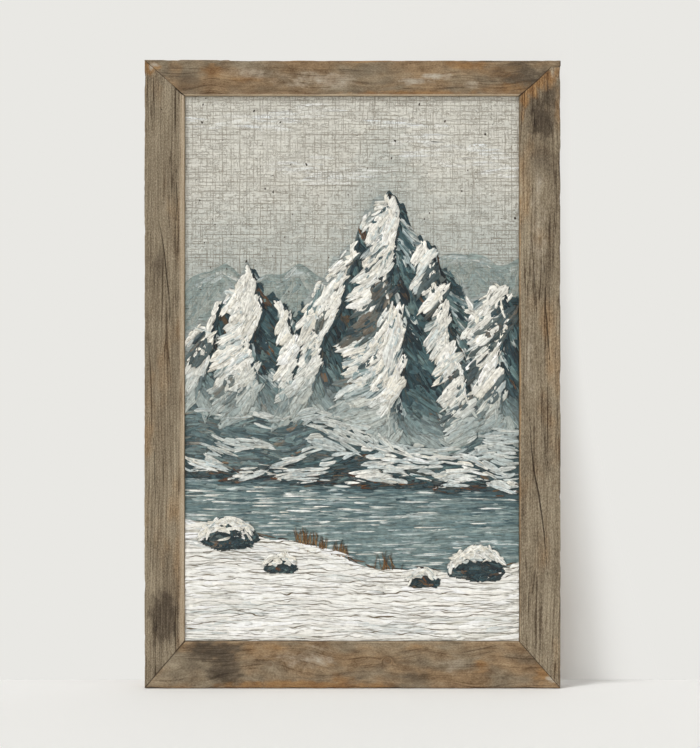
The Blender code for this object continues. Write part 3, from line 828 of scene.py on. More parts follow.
def weatheredWood():
    material, tree, shader = newMaterial("weatheredWood", roughness=0.8, specular=0.25)
    grain = readAttribute(tree, "grain", "Vector")
    fibre = cloud(grain, (16, 640, 1), detail=5.0, rough=0.6)
    bands = cloud(grain, (5, 150, 1))
    pore = spread(abs(cloud(grain, (7, 300, 1), detail=1.0) - 0.5), 0.040, 0.006)
    pore = pore * spread(cloud(grain, (11, 120, 9), detail=2.0), 0.42, 0.56)
    blotch = cloud(grain, (13, 46, 1))
    tint = cloud(grain, (14, 34, 7))
    fleck = cloud(grain, (560, 1050, 1), detail=2.0, rough=0.6)
    mottle = cloud(grain, (70, 130, 1), detail=5.0, rough=0.7)
    figure = readAttribute(tree, "figure")

    tone = figure * 0.03 + 0.495 + (fibre - 0.5) * (figure * 0.85 + 0.05)
    tone = tone + (bands - 0.5) * 0.12 + (blotch - 0.5) * 0.5
    tone = tone + (mottle - 0.5) * ((1.0 - figure) * 0.8 + 0.35) + (fleck - 0.5) * (figure * 0.75 + 0.33)
    tone = tone + pore * (figure * -0.36 - 0.06)

    grey = shades(
        tone, (0.0, 72, 60, 47), (0.3, 104, 91, 74), (0.5, 131, 118, 98), (0.7, 152, 139, 117),
        (1.0, 184, 171, 148),
    )
    brown = shades(
        tone, (0.0, 70, 50, 34), (0.3, 105, 83, 60), (0.5, 138, 114, 86), (0.7, 160, 136, 105),
        (1.0, 192, 169, 136),
    )
    orange = shades(tone, (0.0, 78, 54, 34), (0.35, 124, 91, 59), (0.6, 152, 119, 80), (1.0, 186, 155, 113))
    coal = shades(tone, (0.0, 46, 38, 30), (0.5, 81, 70, 57), (1.0, 124, 110, 91))
    # the lip band's lighter wood: partly wear, partly painted light on the bevels that face away from the sun
    sun = shades(tone, (0.0, 148, 128, 103), (0.5, 190, 171, 145), (1.0, 214, 200, 177))
    chalk = shades(tone, (0.0, 120, 104, 84), (0.5, 170, 158, 140), (1.0, 206, 198, 182))
    sawn = shades(tone, (0.0, 112, 84, 56), (0.5, 158, 126, 90), (1.0, 196, 166, 126))

    warm = readAttribute(tree, "warmth") + (tint - 0.5) * 2.6
    colour = mixColour(spread(warm, 0.1, 0.75), grey, brown)
    # stain, rust and lime are the wood's own marks; the lip band is partly painted light
    for name, over, strength, broken in (
        ("stain", coal, 0.95, 0.4), ("rust", orange, 0.9, 0.4), ("lime", chalk, 0.85, 1.2),
        ("lip", sun, 0.9, 0.3),
    ):
        share = readAttribute(tree, name) * strength
        ragged = share + (mottle - 0.5) * broken + (fibre - 0.5) * 0.35
        colour = mixColour(spread(ragged, 0.0, 0.8) * spread(share, 0.0, 0.15), colour, over)
    knot = spread(readAttribute(tree, "knot"), 0.0, 1.2) * 0.36
    colour = mixColour(knot, colour, rgb(84, 58, 38))
    # worn edges show lighter wood, broken up along them
    edge = readAttribute(tree, "edge") + blotch * 1.6
    colour = mixColour(spread(edge, 1.7, 0.8, 0, 0.45), colour, orange)
    dark = readAttribute(tree, "check") + (fleck - 0.5) * 0.8
    colour = mixColour(spread(dark, 1.25, 0.55, 0, 0.86), colour, rgb(46, 34, 25))
    joint = readAttribute(tree, "joint") + (blotch - 0.5) * 2.4
    colour = mixColour(spread(joint, 1.4, 0.5, 0, 0.85), colour, rgb(52, 36, 25))
    # sawn, less weathered wood towards the back
    colour = mixColour(readAttribute(tree, "raw") * 0.7, colour, sawn)
    coat(shader, colour, tone, 0.24 * mm, 0.7, spread(tone, 0.2, 0.9, 0.92, 0.66))
    return material


woodMaterial = weatheredWood()
railTree = weatherTree()
for railName in railSettings:
    rail = buildRail(railName, woodMaterial)
    runTree(rail, railTree, {**grainSettings, "Material": woodMaterial})
    smoothShade(rail, 50)
    finishPiece(rail, "weathered_wood", [railName])
    print(rail.name, len(rail.data.polygons), "faces")


# the picture: thick oil paint laid with a knife, a lake under snowy mountains
# Places in the picture are u, 0 to 1 from left to right, and v, 0 to 1 from bottom to top.
pictureLayout = {
    "skyline": [
        (0.00, 0.560), (0.07, 0.600), (0.13, 0.650), (0.19, 0.690), (0.25, 0.648), (0.31, 0.608),
        (0.36, 0.622), (0.43, 0.690), (0.49, 0.722), (0.54, 0.785), (0.60, 0.832), (0.65, 0.800),
        (0.70, 0.742), (0.76, 0.712), (0.82, 0.655), (0.88, 0.632), (0.94, 0.665), (1.00, 0.630),
    ],
    "farRange": [
        (0.00, 0.655), (0.06, 0.680), (0.12, 0.690), (0.20, 0.660), (0.28, 0.675), (0.34, 0.690),
        (0.42, 0.668), (0.60, 0.700), (0.78, 0.705), (0.86, 0.715), (0.93, 0.690), (1.00, 0.700),
    ],
    # each ridge from its top to its foot, and how wide a face it throws
    "ridges": [
        (((0.60, 0.832), (0.635, 0.745), (0.600, 0.670), (0.655, 0.550), (0.615, 0.400)), 1.9),
        (((0.19, 0.690), (0.225, 0.605), (0.185, 0.530), (0.230, 0.400)), 1.5),
        (((0.94, 0.665), (0.965, 0.590), (0.925, 0.510), (0.950, 0.390)), 1.4),
        (((0.52, 0.760), (0.485, 0.660), (0.420, 0.560), (0.340, 0.390)), 1.1),
        (((0.72, 0.732), (0.770, 0.630), (0.800, 0.540), (0.880, 0.400)), 0.9),
        (((0.10, 0.622), (0.070, 0.530), (0.010, 0.410)), 0.8),
        (((0.29, 0.620), (0.330, 0.540), (0.310, 0.420)), 0.6),
    ],
    # centre, half width, half height
    "rocks": [
        (0.130, 0.185, 0.085, 0.040),
        (0.285, 0.135, 0.050, 0.024),
        (0.715, 0.108, 0.048, 0.024),
        (0.875, 0.128, 0.085, 0.044),
    ],
    "rockFoot": 0.45,  # a rock reaches this share of its half height below its centre
    "edgeGap": 0.3 * mm,  # between the paint and the frame's inner edge
    "backGap": 0.05 * mm,  # between the paint's back and the canvas
}
paintDepth = {
    "sky": 0.6 * mm,
    "far": 0.9 * mm,
    "lake": 1.0 * mm,
    "mountain": 1.2 * mm,
    "lit": 0.5 * mm,  # how much a lit face is thicker, and a shaded one thinner
    "bank": 1.6 * mm,
    "rock": 1.1 * mm,  # over the bank
}
paintColours = {
    "sky": [(219, 218, 209), (216, 215, 205), (222, 221, 214), (212, 209, 198)],
    "skyLight": [(236, 240, 241), (242, 243, 240)],
    "far": [(154, 166, 161), (144, 158, 155), (164, 173, 167), (135, 152, 151), (172, 179, 173)],
    "white": [(246, 243, 234), (240, 238, 229), (250, 249, 243), (230, 228, 219), (236, 231, 217)],
    "coolWhite": [(210, 216, 213), (194, 204, 203), (180, 192, 193), (218, 221, 216)],
    "rock": [(86, 100, 100), (104, 112, 108), (72, 88, 90), (112, 104, 92), (60, 76, 80)],
    "deep": [(24, 40, 48), (34, 54, 62), (44, 66, 73), (18, 30, 37), (52, 78, 84), (30, 50, 54)],
    "teal": [(70, 98, 102), (88, 115, 117), (58, 84, 90), (104, 128, 127)],
    "brown": [(104, 66, 36), (84, 54, 34), (124, 86, 52), (96, 78, 58)],
    "mist": [(160, 171, 168), (148, 161, 160), (172, 180, 175)],
    "water": [(112, 133, 134), (128, 147, 146), (98, 121, 124), (146, 161, 158)],
    "waterDark": [(56, 80, 86), (70, 94, 98), (44, 66, 74)],
    "snow": [(248, 247, 242), (243, 242, 237), (250, 250, 248), (238, 237, 231), (244, 241, 234)],
    "snowShade": [(214, 217, 213), (202, 207, 205), (222, 220, 210)],
    "reed": [(112, 78, 44), (140, 104, 62), (84, 60, 40), (160, 132, 92)],
}
hazeColour = (156, 168, 166)


def held(value, low=0.0, high=1.0):
    return min(high, max(low, value))


def skyline(u):
    jag = 0.006 * math.sin(71 * u) + 0.005 * math.sin(143 * u + 1.3) + 0.003 * math.sin(267 * u + 2.1)
    return float(np.interp(u, *zip(*pictureLayout["skyline"]))) + jag


def farRange(u):
    return float(np.interp(u, *zip(*pictureLayout["farRange"]))) + 0.004 * math.sin(57 * u + 0.4)


def horizon(u):
    return max(farRange(u), skyline(u))


def foothills(u):
    return 0.400 + 0.030 * math.sin(5.2 * u + 0.6) + 0.014 * math.sin(13 * u + 2.0) + 0.005 * math.sin(37 * u)


def nearHills(u):
    return 0.338 + 0.018 * math.sin(7.5 * u + 3.4) + 0.007 * math.sin(23 * u + 1.0)


def shoreline(u):
    return 0.300 - 0.030 * u + 0.004 * math.sin(31 * u) + 0.002 * math.sin(83 * u + 0.7)


def bankLine(u):
    return 0.168 + 0.045 * math.cos(1.3 * math.pi * u) + 0.005 * math.sin(19 * u + 0.5)


def ridgeAt(points, v):  # where a ridge runs at height v
    ridgeU, ridgeV = zip(*points[::-1])
    topU, topV = points[0]
    wander = 0.006 * math.sin(60 * (topV - v) + 9 * topU) * min(1.0, 12 * max(0.0, topV - v))
    return float(np.interp(v, ridgeV, ridgeU)) + wander


def nearRidge(u, v):
    # signed distance to the nearest ridge, in u: above 0 on its left side, which faces the light
    nearest, side = 9.0, 0.1
    for points, reach in pictureLayout["ridges"]:
        if v > points[0][1]:
            continue
        across = u - ridgeAt(points, v)
        if abs(across) / reach < nearest:
            nearest, side = abs(across) / reach, -across
    return side


def onRock(u, v):
    for number, (rockU, rockV, halfU, halfV) in enumerate(pictureLayout["rocks"], 1):
        foot = pictureLayout["rockFoot"] if v < rockV else 1.0
        x, y = (u - rockU) / halfU, (v - rockV) / (halfV * foot)
        angle = math.atan2(y, x)
        lumpy = 0.10 * math.sin(3 * angle + number) + 0.06 * math.sin(7 * angle + 2 * number)
        if math.hypot(x, y) < 1 + lumpy:
            return True
    return False


def regionAt(u, v):
    if v > horizon(u):
        return "sky"
    if v > skyline(u):
        return "far"
    if v > shoreline(u):
        return "mountain"
    if onRock(u, v):
        return "rock"
    return "lake" if v > bankLine(u) else "bank"


def blend(first, second, share):
    share = held(share)
    return tuple(a + (b - a) * share for a, b in zip(first, second))


def groundColour(region, u, v):  # the thin paint under the strokes
    if region == "sky":
        return blend((198, 203, 197), (225, 223, 213), (v - horizon(u)) / 0.16)
    if region == "far":
        return (146, 160, 156)
    if region == "mountain" and v < foothills(u):
        return (70, 90, 94)
    if region == "mountain":
        face = blend((44, 66, 73), (160, 168, 165), 0.5 + nearRidge(u, v) / 0.02)
        return blend(face, hazeColour, 1 - (v - foothills(u)) / 0.08)
    if region == "rock":
        return (40, 56, 60)
    if region == "lake":
        return blend((62, 86, 92), (118, 139, 139), (shoreline(u) - v) / 0.045)
    return blend((190, 188, 178), (236, 234, 226), (bankLine(u) - v) / 0.03)


def filmDepth(region, u, v):
    if region == "mountain":
        side = held(nearRidge(u, v) / 0.01, -1.0) if v > foothills(u) else 0.0
        return paintDepth["mountain"] + paintDepth["lit"] * side
    if region == "rock":
        return paintDepth["bank"] + paintDepth["rock"]
    return paintDepth[region]


def pictureX(u):
    return sightLeft + u * sightWidth


def pictureZ(v):
    return sightBottom + v * sightHeight


def paintFilm(name, columns, rows, lower, upper, regions, material):
    # a closed sheet of paint on the canvas, between two lines of the picture
    gapU, gapV = pictureLayout["edgeGap"] / sightWidth, pictureLayout["edgeGap"] / sightHeight
    inside = 1e-4  # keeps a point on the border in its own region
    front, place, colours = [], [], {"paintA": [], "paintB": []}
    for i in range(columns + 1):
        u = gapU + (1 - 2 * gapU) * i / columns
        low, high = max(gapV, lower(u)), min(1 - gapV, upper(u))
        for j in range(rows + 1):
            v = low + (high - low) * j / rows
            region = regionAt(u, held(v, low + inside, high - inside))
            region = region if region in regions else regions[0]
            x, z = pictureX(u), pictureZ(v)
            rough = noiseAt(x * 260, 2.0, z * 300) * 0.05 + noiseAt(x * 34, 5.0, z * 90) * 0.12
            front.append((x, canvasY - filmDepth(region, u, v) - rough * mm, z))
            place.append((x, z, 0.0))
            ground = groundColour(region, u, v)
            cloudy, streaky = (0.02, 0.05) if region == "sky" else (0.10, 0.07)
            shade = 0.965 - streaky / 2 + cloudy * noiseAt(u * 9, v * 22, 3.1)
            for label, tone in (("paintA", shade), ("paintB", shade + streaky)):
                colours[label].append(rgb(*[c * tone for c in ground]))
    rim = gridRim(columns, rows)
    back = range(len(front), len(front) + len(rim))
    verts = front + [(front[i][0], canvasY - pictureLayout["backGap"], front[i][2]) for i in rim]
    faces = gridFaces(columns, rows) + loft([back, rim]) + [tuple(back)]
    film = meshObject(name, verts, faces, material)
    for label, values in {**colours, "strokePlace": place}.items():
        setAttribute(film, label, values + [values[i] for i in rim])
    # the thin film gets no painted shade at stroke rims
    setAttribute(film, "rimShare", np.zeros(len(verts)))
    outwardFaces(film)
    smoothShade(film, 60)
    return film


# one stroke of the knife: a closed pad of paint that lies along X, -1 to 1, before it is laid
strokeShape = {
    "along": [-1, -0.94, -0.62, -0.22, 0.22, 0.62, 0.94, 1],
    "across": [-1, -0.82, -0.3, 0.3, 0.82, 1],
}
strokeSettings = {
    "Edge Sink": 0.12 * mm,
    "Ridge Depth": 1.3,
    "Piled End": 0.45,
    "Film Front": canvasY,
    "Left": sightLeft + pictureLayout["edgeGap"],
    "Right": sightRight - pictureLayout["edgeGap"],
    "Bottom": sightBottom + pictureLayout["edgeGap"],
    "Top": sightTop - pictureLayout["edgeGap"],
    "Seed": 11.0,
}


def strokePattern():
    columns, rows = len(strokeShape["along"]) - 1, len(strokeShape["across"]) - 1
    corners = np.array([(x, y, 0) for x in strokeShape["along"] for y in strokeShape["across"]])
    faces = gridFaces(columns, rows) + [tuple(gridRim(columns, rows)[::-1])]
    pattern = meshObject("strokePattern", corners, faces)
    setAttribute(pattern, "spot", corners)
    setAttribute(pattern, "rim", np.abs(corners[:, :2]).max(1) > 0.99)
    setAttribute(pattern, "under", [0.0] * (len(faces) - 1) + [1.0], "FACE")
    return pattern


def knifeTree():
    tree, start = newTree("knifeStrokes", strokeSettings, "Stroke")
    laid = repeated(tree, start, "Stroke")

    def read(name):
        return split(named(tree, name, "FLOAT_VECTOR"))

    along, across, _ = read("spot")
    centreX, centreY, centreZ = read("centre")
    halfLength, halfWidth, angle = read("lay")
    height, bend, base = read("load")
    seed, taper, rag = read("hand")
    cellU, cellV, cell = read("cell")
    rim = named(tree, "rim")
    seed = seed + start["Seed"]

    def roughness(alongScale, acrossScale, offset, detail=2.0):
        spot = combine(along * alongScale, across * acrossScale, seed * 3.7 + offset)
        return cloud(spot, detail=detail) - 0.5

    # ragged ends, a width that changes and tapers, rounded corners
    fringe = roughness(0.4, 2.4, 1.0) * rag * abs(along)
    narrow = 1.0 - taper * (along * 0.5 + 0.5).math("POWER", 1.4)
    corner = (1.0 - abs(along).math("POWER", 6.0)).math("MAXIMUM", 0.12).math("SQRT")
    wide = narrow * corner * (roughness(1.5, 0.5, 9.0) * 0.9 + 1.0)
    bow = bend * (along * along - 0.33)
    localX = (fringe * 1.6 + 1.0) * along * halfLength
    localY = (across * wide + roughness(2.2, 0.4, 17.0) * 0.5 + bow) * halfWidth

    # ridges that run with the stroke, and paint piled up where it stops
    ridge = roughness(1.3, 3.6, 31.0, 3.0) * start["Ridge Depth"]
    piled = spread(along, 0.2, 0.95) * start["Piled End"]
    lift = (ridge + 0.55 + piled).math("MAXIMUM", 0.12)
    body = (lift * height + base) * (1.0 - rim) - rim * start["Edge Sink"]

    turnCos, turnSin = angle.math("COSINE"), angle.math("SINE")
    x = localX * turnCos - localY * turnSin + centreX
    z = localX * turnSin + localY * turnCos + centreZ
    x = x.math("MAXIMUM", start["Left"]).math("MINIMUM", start["Right"])
    z = z.math("MAXIMUM", start["Bottom"]).math("MINIMUM", start["Top"])
    spot = combine(x, start["Film Front"] - centreY - body, z)

    # what the paint's pattern follows, kept before the points move
    laid = stored(laid, "strokePlace", combine(localX, localY, seed * 0.37), "FLOAT_VECTOR")
    # where the painted shade goes: round the stroke's rim and where its paint lies low
    laid = stored(laid, "rimShare", rim.math("MAXIMUM", spread(lift, 0.5, 0.15) * 0.6))

    # each stroke has its own cell of the texture map, and its underside a strip of that cell
    topV, underV = across * 0.36 + 0.41, across * 0.05 + 0.90
    localV = named(tree, "under") * (underV - topV) + topV
    mapPlace = combine((along * 0.45 + 0.5) * cell + cellU, localV * cell + cellV)
    laid = stored(laid, "OFBake", mapPlace, "FLOAT2", "CORNER")
    laid = addNode(tree, "GeometryNodeSetPosition", {"Geometry": laid, "Position": spot})
    return closeTree(laid, start)


def layStrokes(name, rows, tree, pattern, material):
    # rows are strokes: u, v, length and width in mm, angle, height in mm, and what else differs
    points = meshObject(name, [(0, 0, 0)] * len(rows), [])
    cells, side = np.arange(len(rows)), math.ceil(math.sqrt(len(rows)))

    def each(key, usual=0.0):
        return np.array([row.get(key, usual) for row in rows])

    facts = {
        "centre": (pictureX(each("u")), each("depth"), pictureZ(each("v"))),
        "lay": (each("long") * mm / 2, each("wide") * mm / 2, np.radians(each("angle"))),
        "load": (each("high") * mm, each("bend"), each("base") * mm),
        "hand": (cells * 0.731, each("taper", 0.35), each("rag", 0.5)),
        "cell": (cells % side / side, cells // side / side, np.full(len(rows), 1 / side)),
    }
    for label, values in facts.items():
        setAttribute(points, label, np.stack(values, 1))
    for label, which in (("paintA", 0), ("paintB", 1)):
        setAttribute(points, label, [rgb(*row["colours"][which]) for row in rows])
    runTree(points, tree, {"Stroke": pattern, **strokeSettings, "Material": material})
    for leftover in (*facts, "spot", "rim", "under"):
        found = points.data.attributes.get(leftover)
        if found:
            points.data.attributes.remove(found)
    smoothShade(points, 70)
    print(name, len(rows), "strokes,", len(points.data.polygons), "faces")
    return points


# fine broken lines: the way they run, the way they follow each other, pitch and length in mm,
# strength, seed
lineSettings = {
    "threads": {  # the weave's threads, which show through the thin paint both ways
        "rows": [
            ("z", "x", 7.4, 27, 0.9, 3), ("x", "z", 4.6, 36, 0.9, 9), ("z", "x", 3.3, 5, 0.8, 17),
            ("x", "z", 2.7, 6, 0.85, 23),
        ],
        "wave": (80, 1, 80),
        "sway": 3.4 * mm,
    },
    "creases": {  # where two long drags of the knife meet
        "rows": [("x", "z", 7.6, 52, 1.3, 5), ("x", "z", 5.4, 24, 1.1, 29), ("x", "z", 3.2, 13, 0.75, 13)],
        "wave": (14, 1, 34),
        "sway": 22 * mm,
    },
}


def brokenLines(place, kind):
    facts, axes, total = lineSettings[kind], dict(zip("xyz", split(place))), None
    for runs, steps, pitch, length, strength, seed in facts["rows"]:
        sway = cloud(place, facts["wave"], rough=0.6, w=float(seed)) - 0.5
        counted = (sway * facts["sway"] + axes[steps]) * (1000 / pitch)
        cell = addNode(
            place.tree, "ShaderNodeTexVoronoi", {"W": counted + seed * 10.0, "Scale": 1.0, "Randomness": 0.9},
            "Distance", voronoi_dimensions="1D", feature="DISTANCE_TO_EDGE",
        )
        spot = combine(axes[runs] * (1000 / length), counted * 0.8, seed * 1.7)
        shown = spread(cloud(spot, detail=2.0), 0.40, 0.62)
        line = spread(cell * pitch, 0.40, 0.14) * (shown * strength)
        total = total.math("MAXIMUM", line) if total else line
    return total


def oilPaint(
    name, creviceShadeColour, crackle=0.0, relief=1.0, roughness=0.46, creviceShade=0.62, bristleShading=0.18, furrows=0.6,
    acrossStrokes=False,
):
    material, tree, shader = newMaterial(name, roughness=roughness, specular=0.4)
    own, place = readAttribute(tree, "strokePlace", "Vector"), objectPlace(tree)
    streak = cloud(own, (50, 380, 1), detail=4.0, rough=0.62)
    bristle = cloud(own, (30, 800, 1), rough=0.6)
    lump = cloud(place, (260, 260, 260), detail=4.0, rough=0.6)
    if acrossStrokes:  # long furrows that run on from one stroke to the next
        drag = cloud(place, (13, 1, 170), detail=2.0, rough=0.5, warp=0.35)
        furrow = brokenLines(place, "creases")
    else:  # long thin furrows in each stroke
        drag = cloud(own, (26, 250, 1), rough=0.6, warp=0.6)
        furrow = spread(abs(drag - 0.5), 0.030, 0.0) * spread(streak, 0.40, 0.56)
    colours = [readAttribute(tree, label, "Color") for label in ("paintA", "paintB")]
    colour = mixColour(spread(streak, 0.36, 0.64), *colours)
    # small painted darks and lights from the bristles: painted shade in their dips, painted highlight on
    # their ridges and lumps
    tone = spread((bristle - 0.5) * 0.9 + lump, 0.25, 0.75, 1 - bristleShading, 1 + bristleShading)
    colour = scaled(colour, tone)
    # painted shade: grey-brown darkening in the bristle dips, in low spots of the paint and round each
    # stroke's rim
    dip = (0.5 - bristle) + readAttribute(tree, "rimShare") + (0.5 - lump) * 0.6
    colour = mixColour(spread(dip, 0.34, 1.0, 0, creviceShade), colour, creviceShadeColour)
    # painted shade along the furrows and creases, in the crevice colour
    colour = mixColour(furrow.math("MULTIPLY", furrows, clamp=True), colour, creviceShadeColour)
    height = streak * 0.9 + bristle * 0.4 + lump * 0.5 + drag * 1.6 + furrow * -0.7
    if crackle:
        patchy = spread(cloud(place, (16, 16, 16)), 0.3, 0.65, 0.75, 1.0)
        # short crooked cracks between the threads
        crumb = spread(abs(cloud(place, (290, 290, 360), detail=2.0, warp=0.6) - 0.5), 0.030, 0.006)
        where = spread(cloud(place, (95, 95, 140), detail=2.0), 0.36, 0.60, 0.1, 0.75)
        lines = (brokenLines(place, "threads") * patchy).math("MAXIMUM", crumb * where)
        speck = spread(cloud(place, (240, 240, 170), detail=1.0), 0.745, 0.785)
        colour = mixColour(lines * crackle, colour, rgb(116, 101, 78))
        colour = mixColour(speck, colour, rgb(70, 62, 52))
        height = height + lines * -2.2 + cloud(place, (1500, 1500, 1500), detail=2.0) * 0.7
    rough = spread(lump, 0.3, 0.7, roughness + 0.12, roughness - 0.12)
    coat(shader, colour, height, 0.55 * mm * relief, 0.9, rough)
    return material


def jittered(dice, stepX, stepZ):  # loose rows over the whole picture, steps in millimetres
    columns, rows = int(sightWidth / mm / stepX), int(sightHeight / mm / stepZ)
    for j in range(rows):
        for i in range(columns):
            u = (i + 0.5 * (j % 2) + dice.uniform(0.05, 0.95)) / columns
            v = (j + dice.uniform(0.05, 0.95)) / rows
            if 0.004 < u < 0.996 and 0.003 < v < 0.997:
                yield u, v


def pick(dice, name, spreadOut=6):
    tone = dice.uniform(-spreadOut, spreadOut)
    return tuple(held(c + tone, 8, 250) for c in dice.choice(paintColours[name]))


def slopeOf(line, u):  # in degrees, as the line runs to the right
    rise = (line(u + 0.01) - line(u - 0.01)) * sightHeight
    return math.degrees(math.atan2(rise, 0.02 * sightWidth))


# Each plan gives the strokes of one mass of paint, in the order in which they are laid.
def planSky(dice):
    for u, v in jittered(dice, 13, 5.5):
        light = 0.84 < v < 0.985 and noiseAt(u * 3.5, v * 14, 6.2) > 0.12 and dice.random() < 0.5
        if v < horizon(u) + 0.008 or not light and dice.random() < 0.78:
            continue
        ground = groundColour("sky", u, v)
        first, second = [blend(ground, pick(dice, "sky", 2), 0.25) for _ in range(2)]
        if light:
            first = blend(first, pick(dice, "skyLight", 2), dice.uniform(0.4, 1.0))
        yield dict(
            u=u, v=v, long=dice.uniform(18, 50), wide=dice.uniform(3, 6 if light else 12),
            angle=dice.gauss(0, 3), high=dice.uniform(0.02, 0.05) + 0.06 * light,
            bend=dice.uniform(-0.3, 0.3), rag=0.9,
            colours=(first, second), depth=paintDepth["sky"],
        )


def planFar(dice):
    for u, v in jittered(dice, 5.5, 4.5):
        top, slope = farRange(u), slopeOf(farRange, u)
        if not skyline(u) - 0.006 < v < top - 0.004:
            continue
        snowy = v > top - 0.022
        first = pick(dice, "coolWhite" if snowy and dice.random() < 0.6 else "far")
        yield dict(
            u=u, v=v, long=dice.uniform(7, 20), wide=dice.uniform(3.5, 7),
            angle=slope + dice.gauss(0, 7) if snowy else (236 if slope > 0 else 304) + dice.gauss(0, 8),
            high=dice.uniform(0.08, 0.2), bend=dice.uniform(-0.5, 0.5), rag=0.7,
            colours=(first, pick(dice, "far")), depth=paintDepth["far"],
        )


def keptUnder(row, line, slack=0.004):
    # a stroke whose end would pass the line is cut short, or left out
    for _ in range(3):
        turn = math.radians(row["angle"])
        endU = math.cos(turn) * row["long"] / 2 * mm / sightWidth
        endV = math.sin(turn) * row["long"] / 2 * mm / sightHeight
        half = abs(math.cos(turn)) * row["wide"] * 0.3 * mm / sightHeight
        if all(row["v"] + way * endV + half < line(row["u"] + way * endU) + slack for way in (-1, 0, 1)):
            return [row]
        row = {**row, "long": row["long"] * 0.6, "wide": row["wide"] * 0.8}
    return []


def mountainStroke(dice, u, v, snowShare, long, wide):
    side = nearRidge(u, v)
    away = min(1.0, abs(side) / 0.10)
    patch = noiseAt(u * 13, v * 15, 7.7) + 0.6 * noiseAt(u * 36, v * 40, 1.2)
    flow = noiseAt(u * 8, v * 10, 3.3)
    mist = held(1 - (v - foothills(u)) / 0.095) ** 1.3
    lit = side > 0
    chance = dice.random()
    if lit:
        if patch > 0.30 + 0.3 * snowShare and skyline(u) - v > 0.03:
            first, second = pick(dice, "rock"), pick(dice, "deep" if chance < 0.35 else "rock")
        elif chance < 0.92 - 0.45 * away + snowShare * 0.3:
            first, second = pick(dice, "white"), pick(dice, "white" if dice.random() < 0.8 else "coolWhite")
        else:
            first, second = pick(dice, "coolWhite"), pick(dice, "white" if dice.random() < 0.6 else "teal")
        angle = 240 + 34 * flow + dice.gauss(0, 6) - 22 * away
    else:
        if patch > 0.36 - 0.3 * snowShare and chance < 0.8:
            first, second = pick(dice, "coolWhite"), pick(dice, "teal")
        elif chance < 0.72 - 0.4 * away:
            first, second = pick(dice, "deep"), pick(dice, "deep" if dice.random() < 0.6 else "teal")
        elif chance < 0.96:
            first, second = pick(dice, "teal"), pick(dice, "deep" if dice.random() < 0.45 else "teal")
        else:
            first, second = pick(dice, "brown"), pick(dice, "deep")
        angle = 296 + 30 * flow + dice.gauss(0, 6) + 22 * away
    crest = (skyline(u) - v) * sightHeight < 13 * mm  # the crest's strokes lie along it
    if crest:
        angle = slopeOf(skyline, u) + 180 + dice.gauss(0, 7)
    high = dice.uniform(0.45, 1.1) if lit else dice.uniform(0.25, 0.6)
    return dict(
        u=u, v=v, long=long * (0.55 if crest else 1.0), wide=wide * (0.6 if crest else 1.0), angle=angle,
        high=high * (1 - 0.5 * mist), bend=dice.uniform(-0.8, 0.8), rag=0.75, taper=dice.uniform(0.0, 0.5),
        base=dice.uniform(0, 0.3), depth=filmDepth("mountain", u, v),
        colours=[blend(paint, pick(dice, "mist"), mist) for paint in (first, second)],
    )


def hillStroke(dice, u, v, line, dark):
    slope = slopeOf(line, u)
    snow = noiseAt(u * 6.5, v * 24, 5.5) + 0.45 * noiseAt(u * 26, v * 70, 2.0)
    under = (line(u) - v) * sightHeight / mm
    snowy = snow > -0.02 + 0.010 * slope + 0.14 * dark or under < 6 and dice.random() < 0.5
    if snowy:
        first, second = pick(dice, "white" if dice.random() < 0.6 else "coolWhite"), pick(dice, "coolWhite")
    else:
        first = pick(dice, "deep" if dice.random() < 0.35 + 0.35 * dark else "teal")
        second = pick(dice, dice.choice(("teal", "rock", "deep", "brown" if dice.random() < 0.3 else "teal")))
    haze = 0.42 * (1 - dark)
    return dict(
        u=u, v=v, long=dice.uniform(8, 26) * (1.2 if snowy else 1), wide=dice.uniform(2.4, 6.4),
        angle=slope * 0.9 + 22 * noiseAt(u * 7, v * 18, 9.0) + dice.gauss(0, 5),
        high=dice.uniform(0.5, 1.0) if snowy else dice.uniform(0.3, 0.6), bend=dice.uniform(-0.7, 0.7),
        rag=0.8, taper=dice.uniform(0.2, 0.7), base=0.3 * snowy + 0.2 * dark, depth=paintDepth["mountain"],
        colours=[blend(paint, pick(dice, "mist"), haze) for paint in (first, second)],
    )


def planMountain(dice):
    # first the broad strokes, then the narrow ones: steps, share of snow, room at both lines, lengths, widths
    for steps, snowShare, footRoom, topRoom, lengths, widths in (
        ((9.5, 7.5), 0.0, 0.01, 0.010, (14, 36), (6, 12)), ((7.2, 6.0), 0.2, 0.0, 0.008, (8, 22), (2.4, 6)),
    ):
        for u, v in jittered(dice, *steps):
            if foothills(u) - footRoom < v < skyline(u) - topRoom:
                long, wide = dice.uniform(*lengths), dice.uniform(*widths)
                yield from keptUnder(mountainStroke(dice, u, v, snowShare, long, wide), skyline)
    for points, reach in pictureLayout["ridges"]:  # a crisp edge down each ridge
        v = points[0][1] - 0.012
        while v > foothills(ridgeAt(points, v)) + 0.02:
            u = ridgeAt(points, v)
            lean = math.degrees(math.atan2(-0.02 * sightHeight, (ridgeAt(points, v - 0.02) - u) * sightWidth))
            mist = max(0.0, 1 - (v - foothills(u)) / 0.09)
            sides = ((-0.0065, "white", -9, 0.9), (0.0075, "deep", 9, 0.45)) if v < skyline(u) - 0.006 else ()
            for shift, name, turn, high in sides:
                yield from keptUnder(dict(
                    u=u + shift, v=v, long=dice.uniform(9, 20), wide=dice.uniform(2.4, 5),
                    angle=lean + dice.gauss(0, 8) + turn, high=high, bend=dice.uniform(-0.7, 0.7), rag=0.6,
                    taper=0.4, base=0.5, depth=paintDepth["mountain"],
                    colours=[blend(pick(dice, name), hazeColour, mist) for _ in range(2)],
                ), skyline)
            v -= dice.uniform(0.008, 0.018)


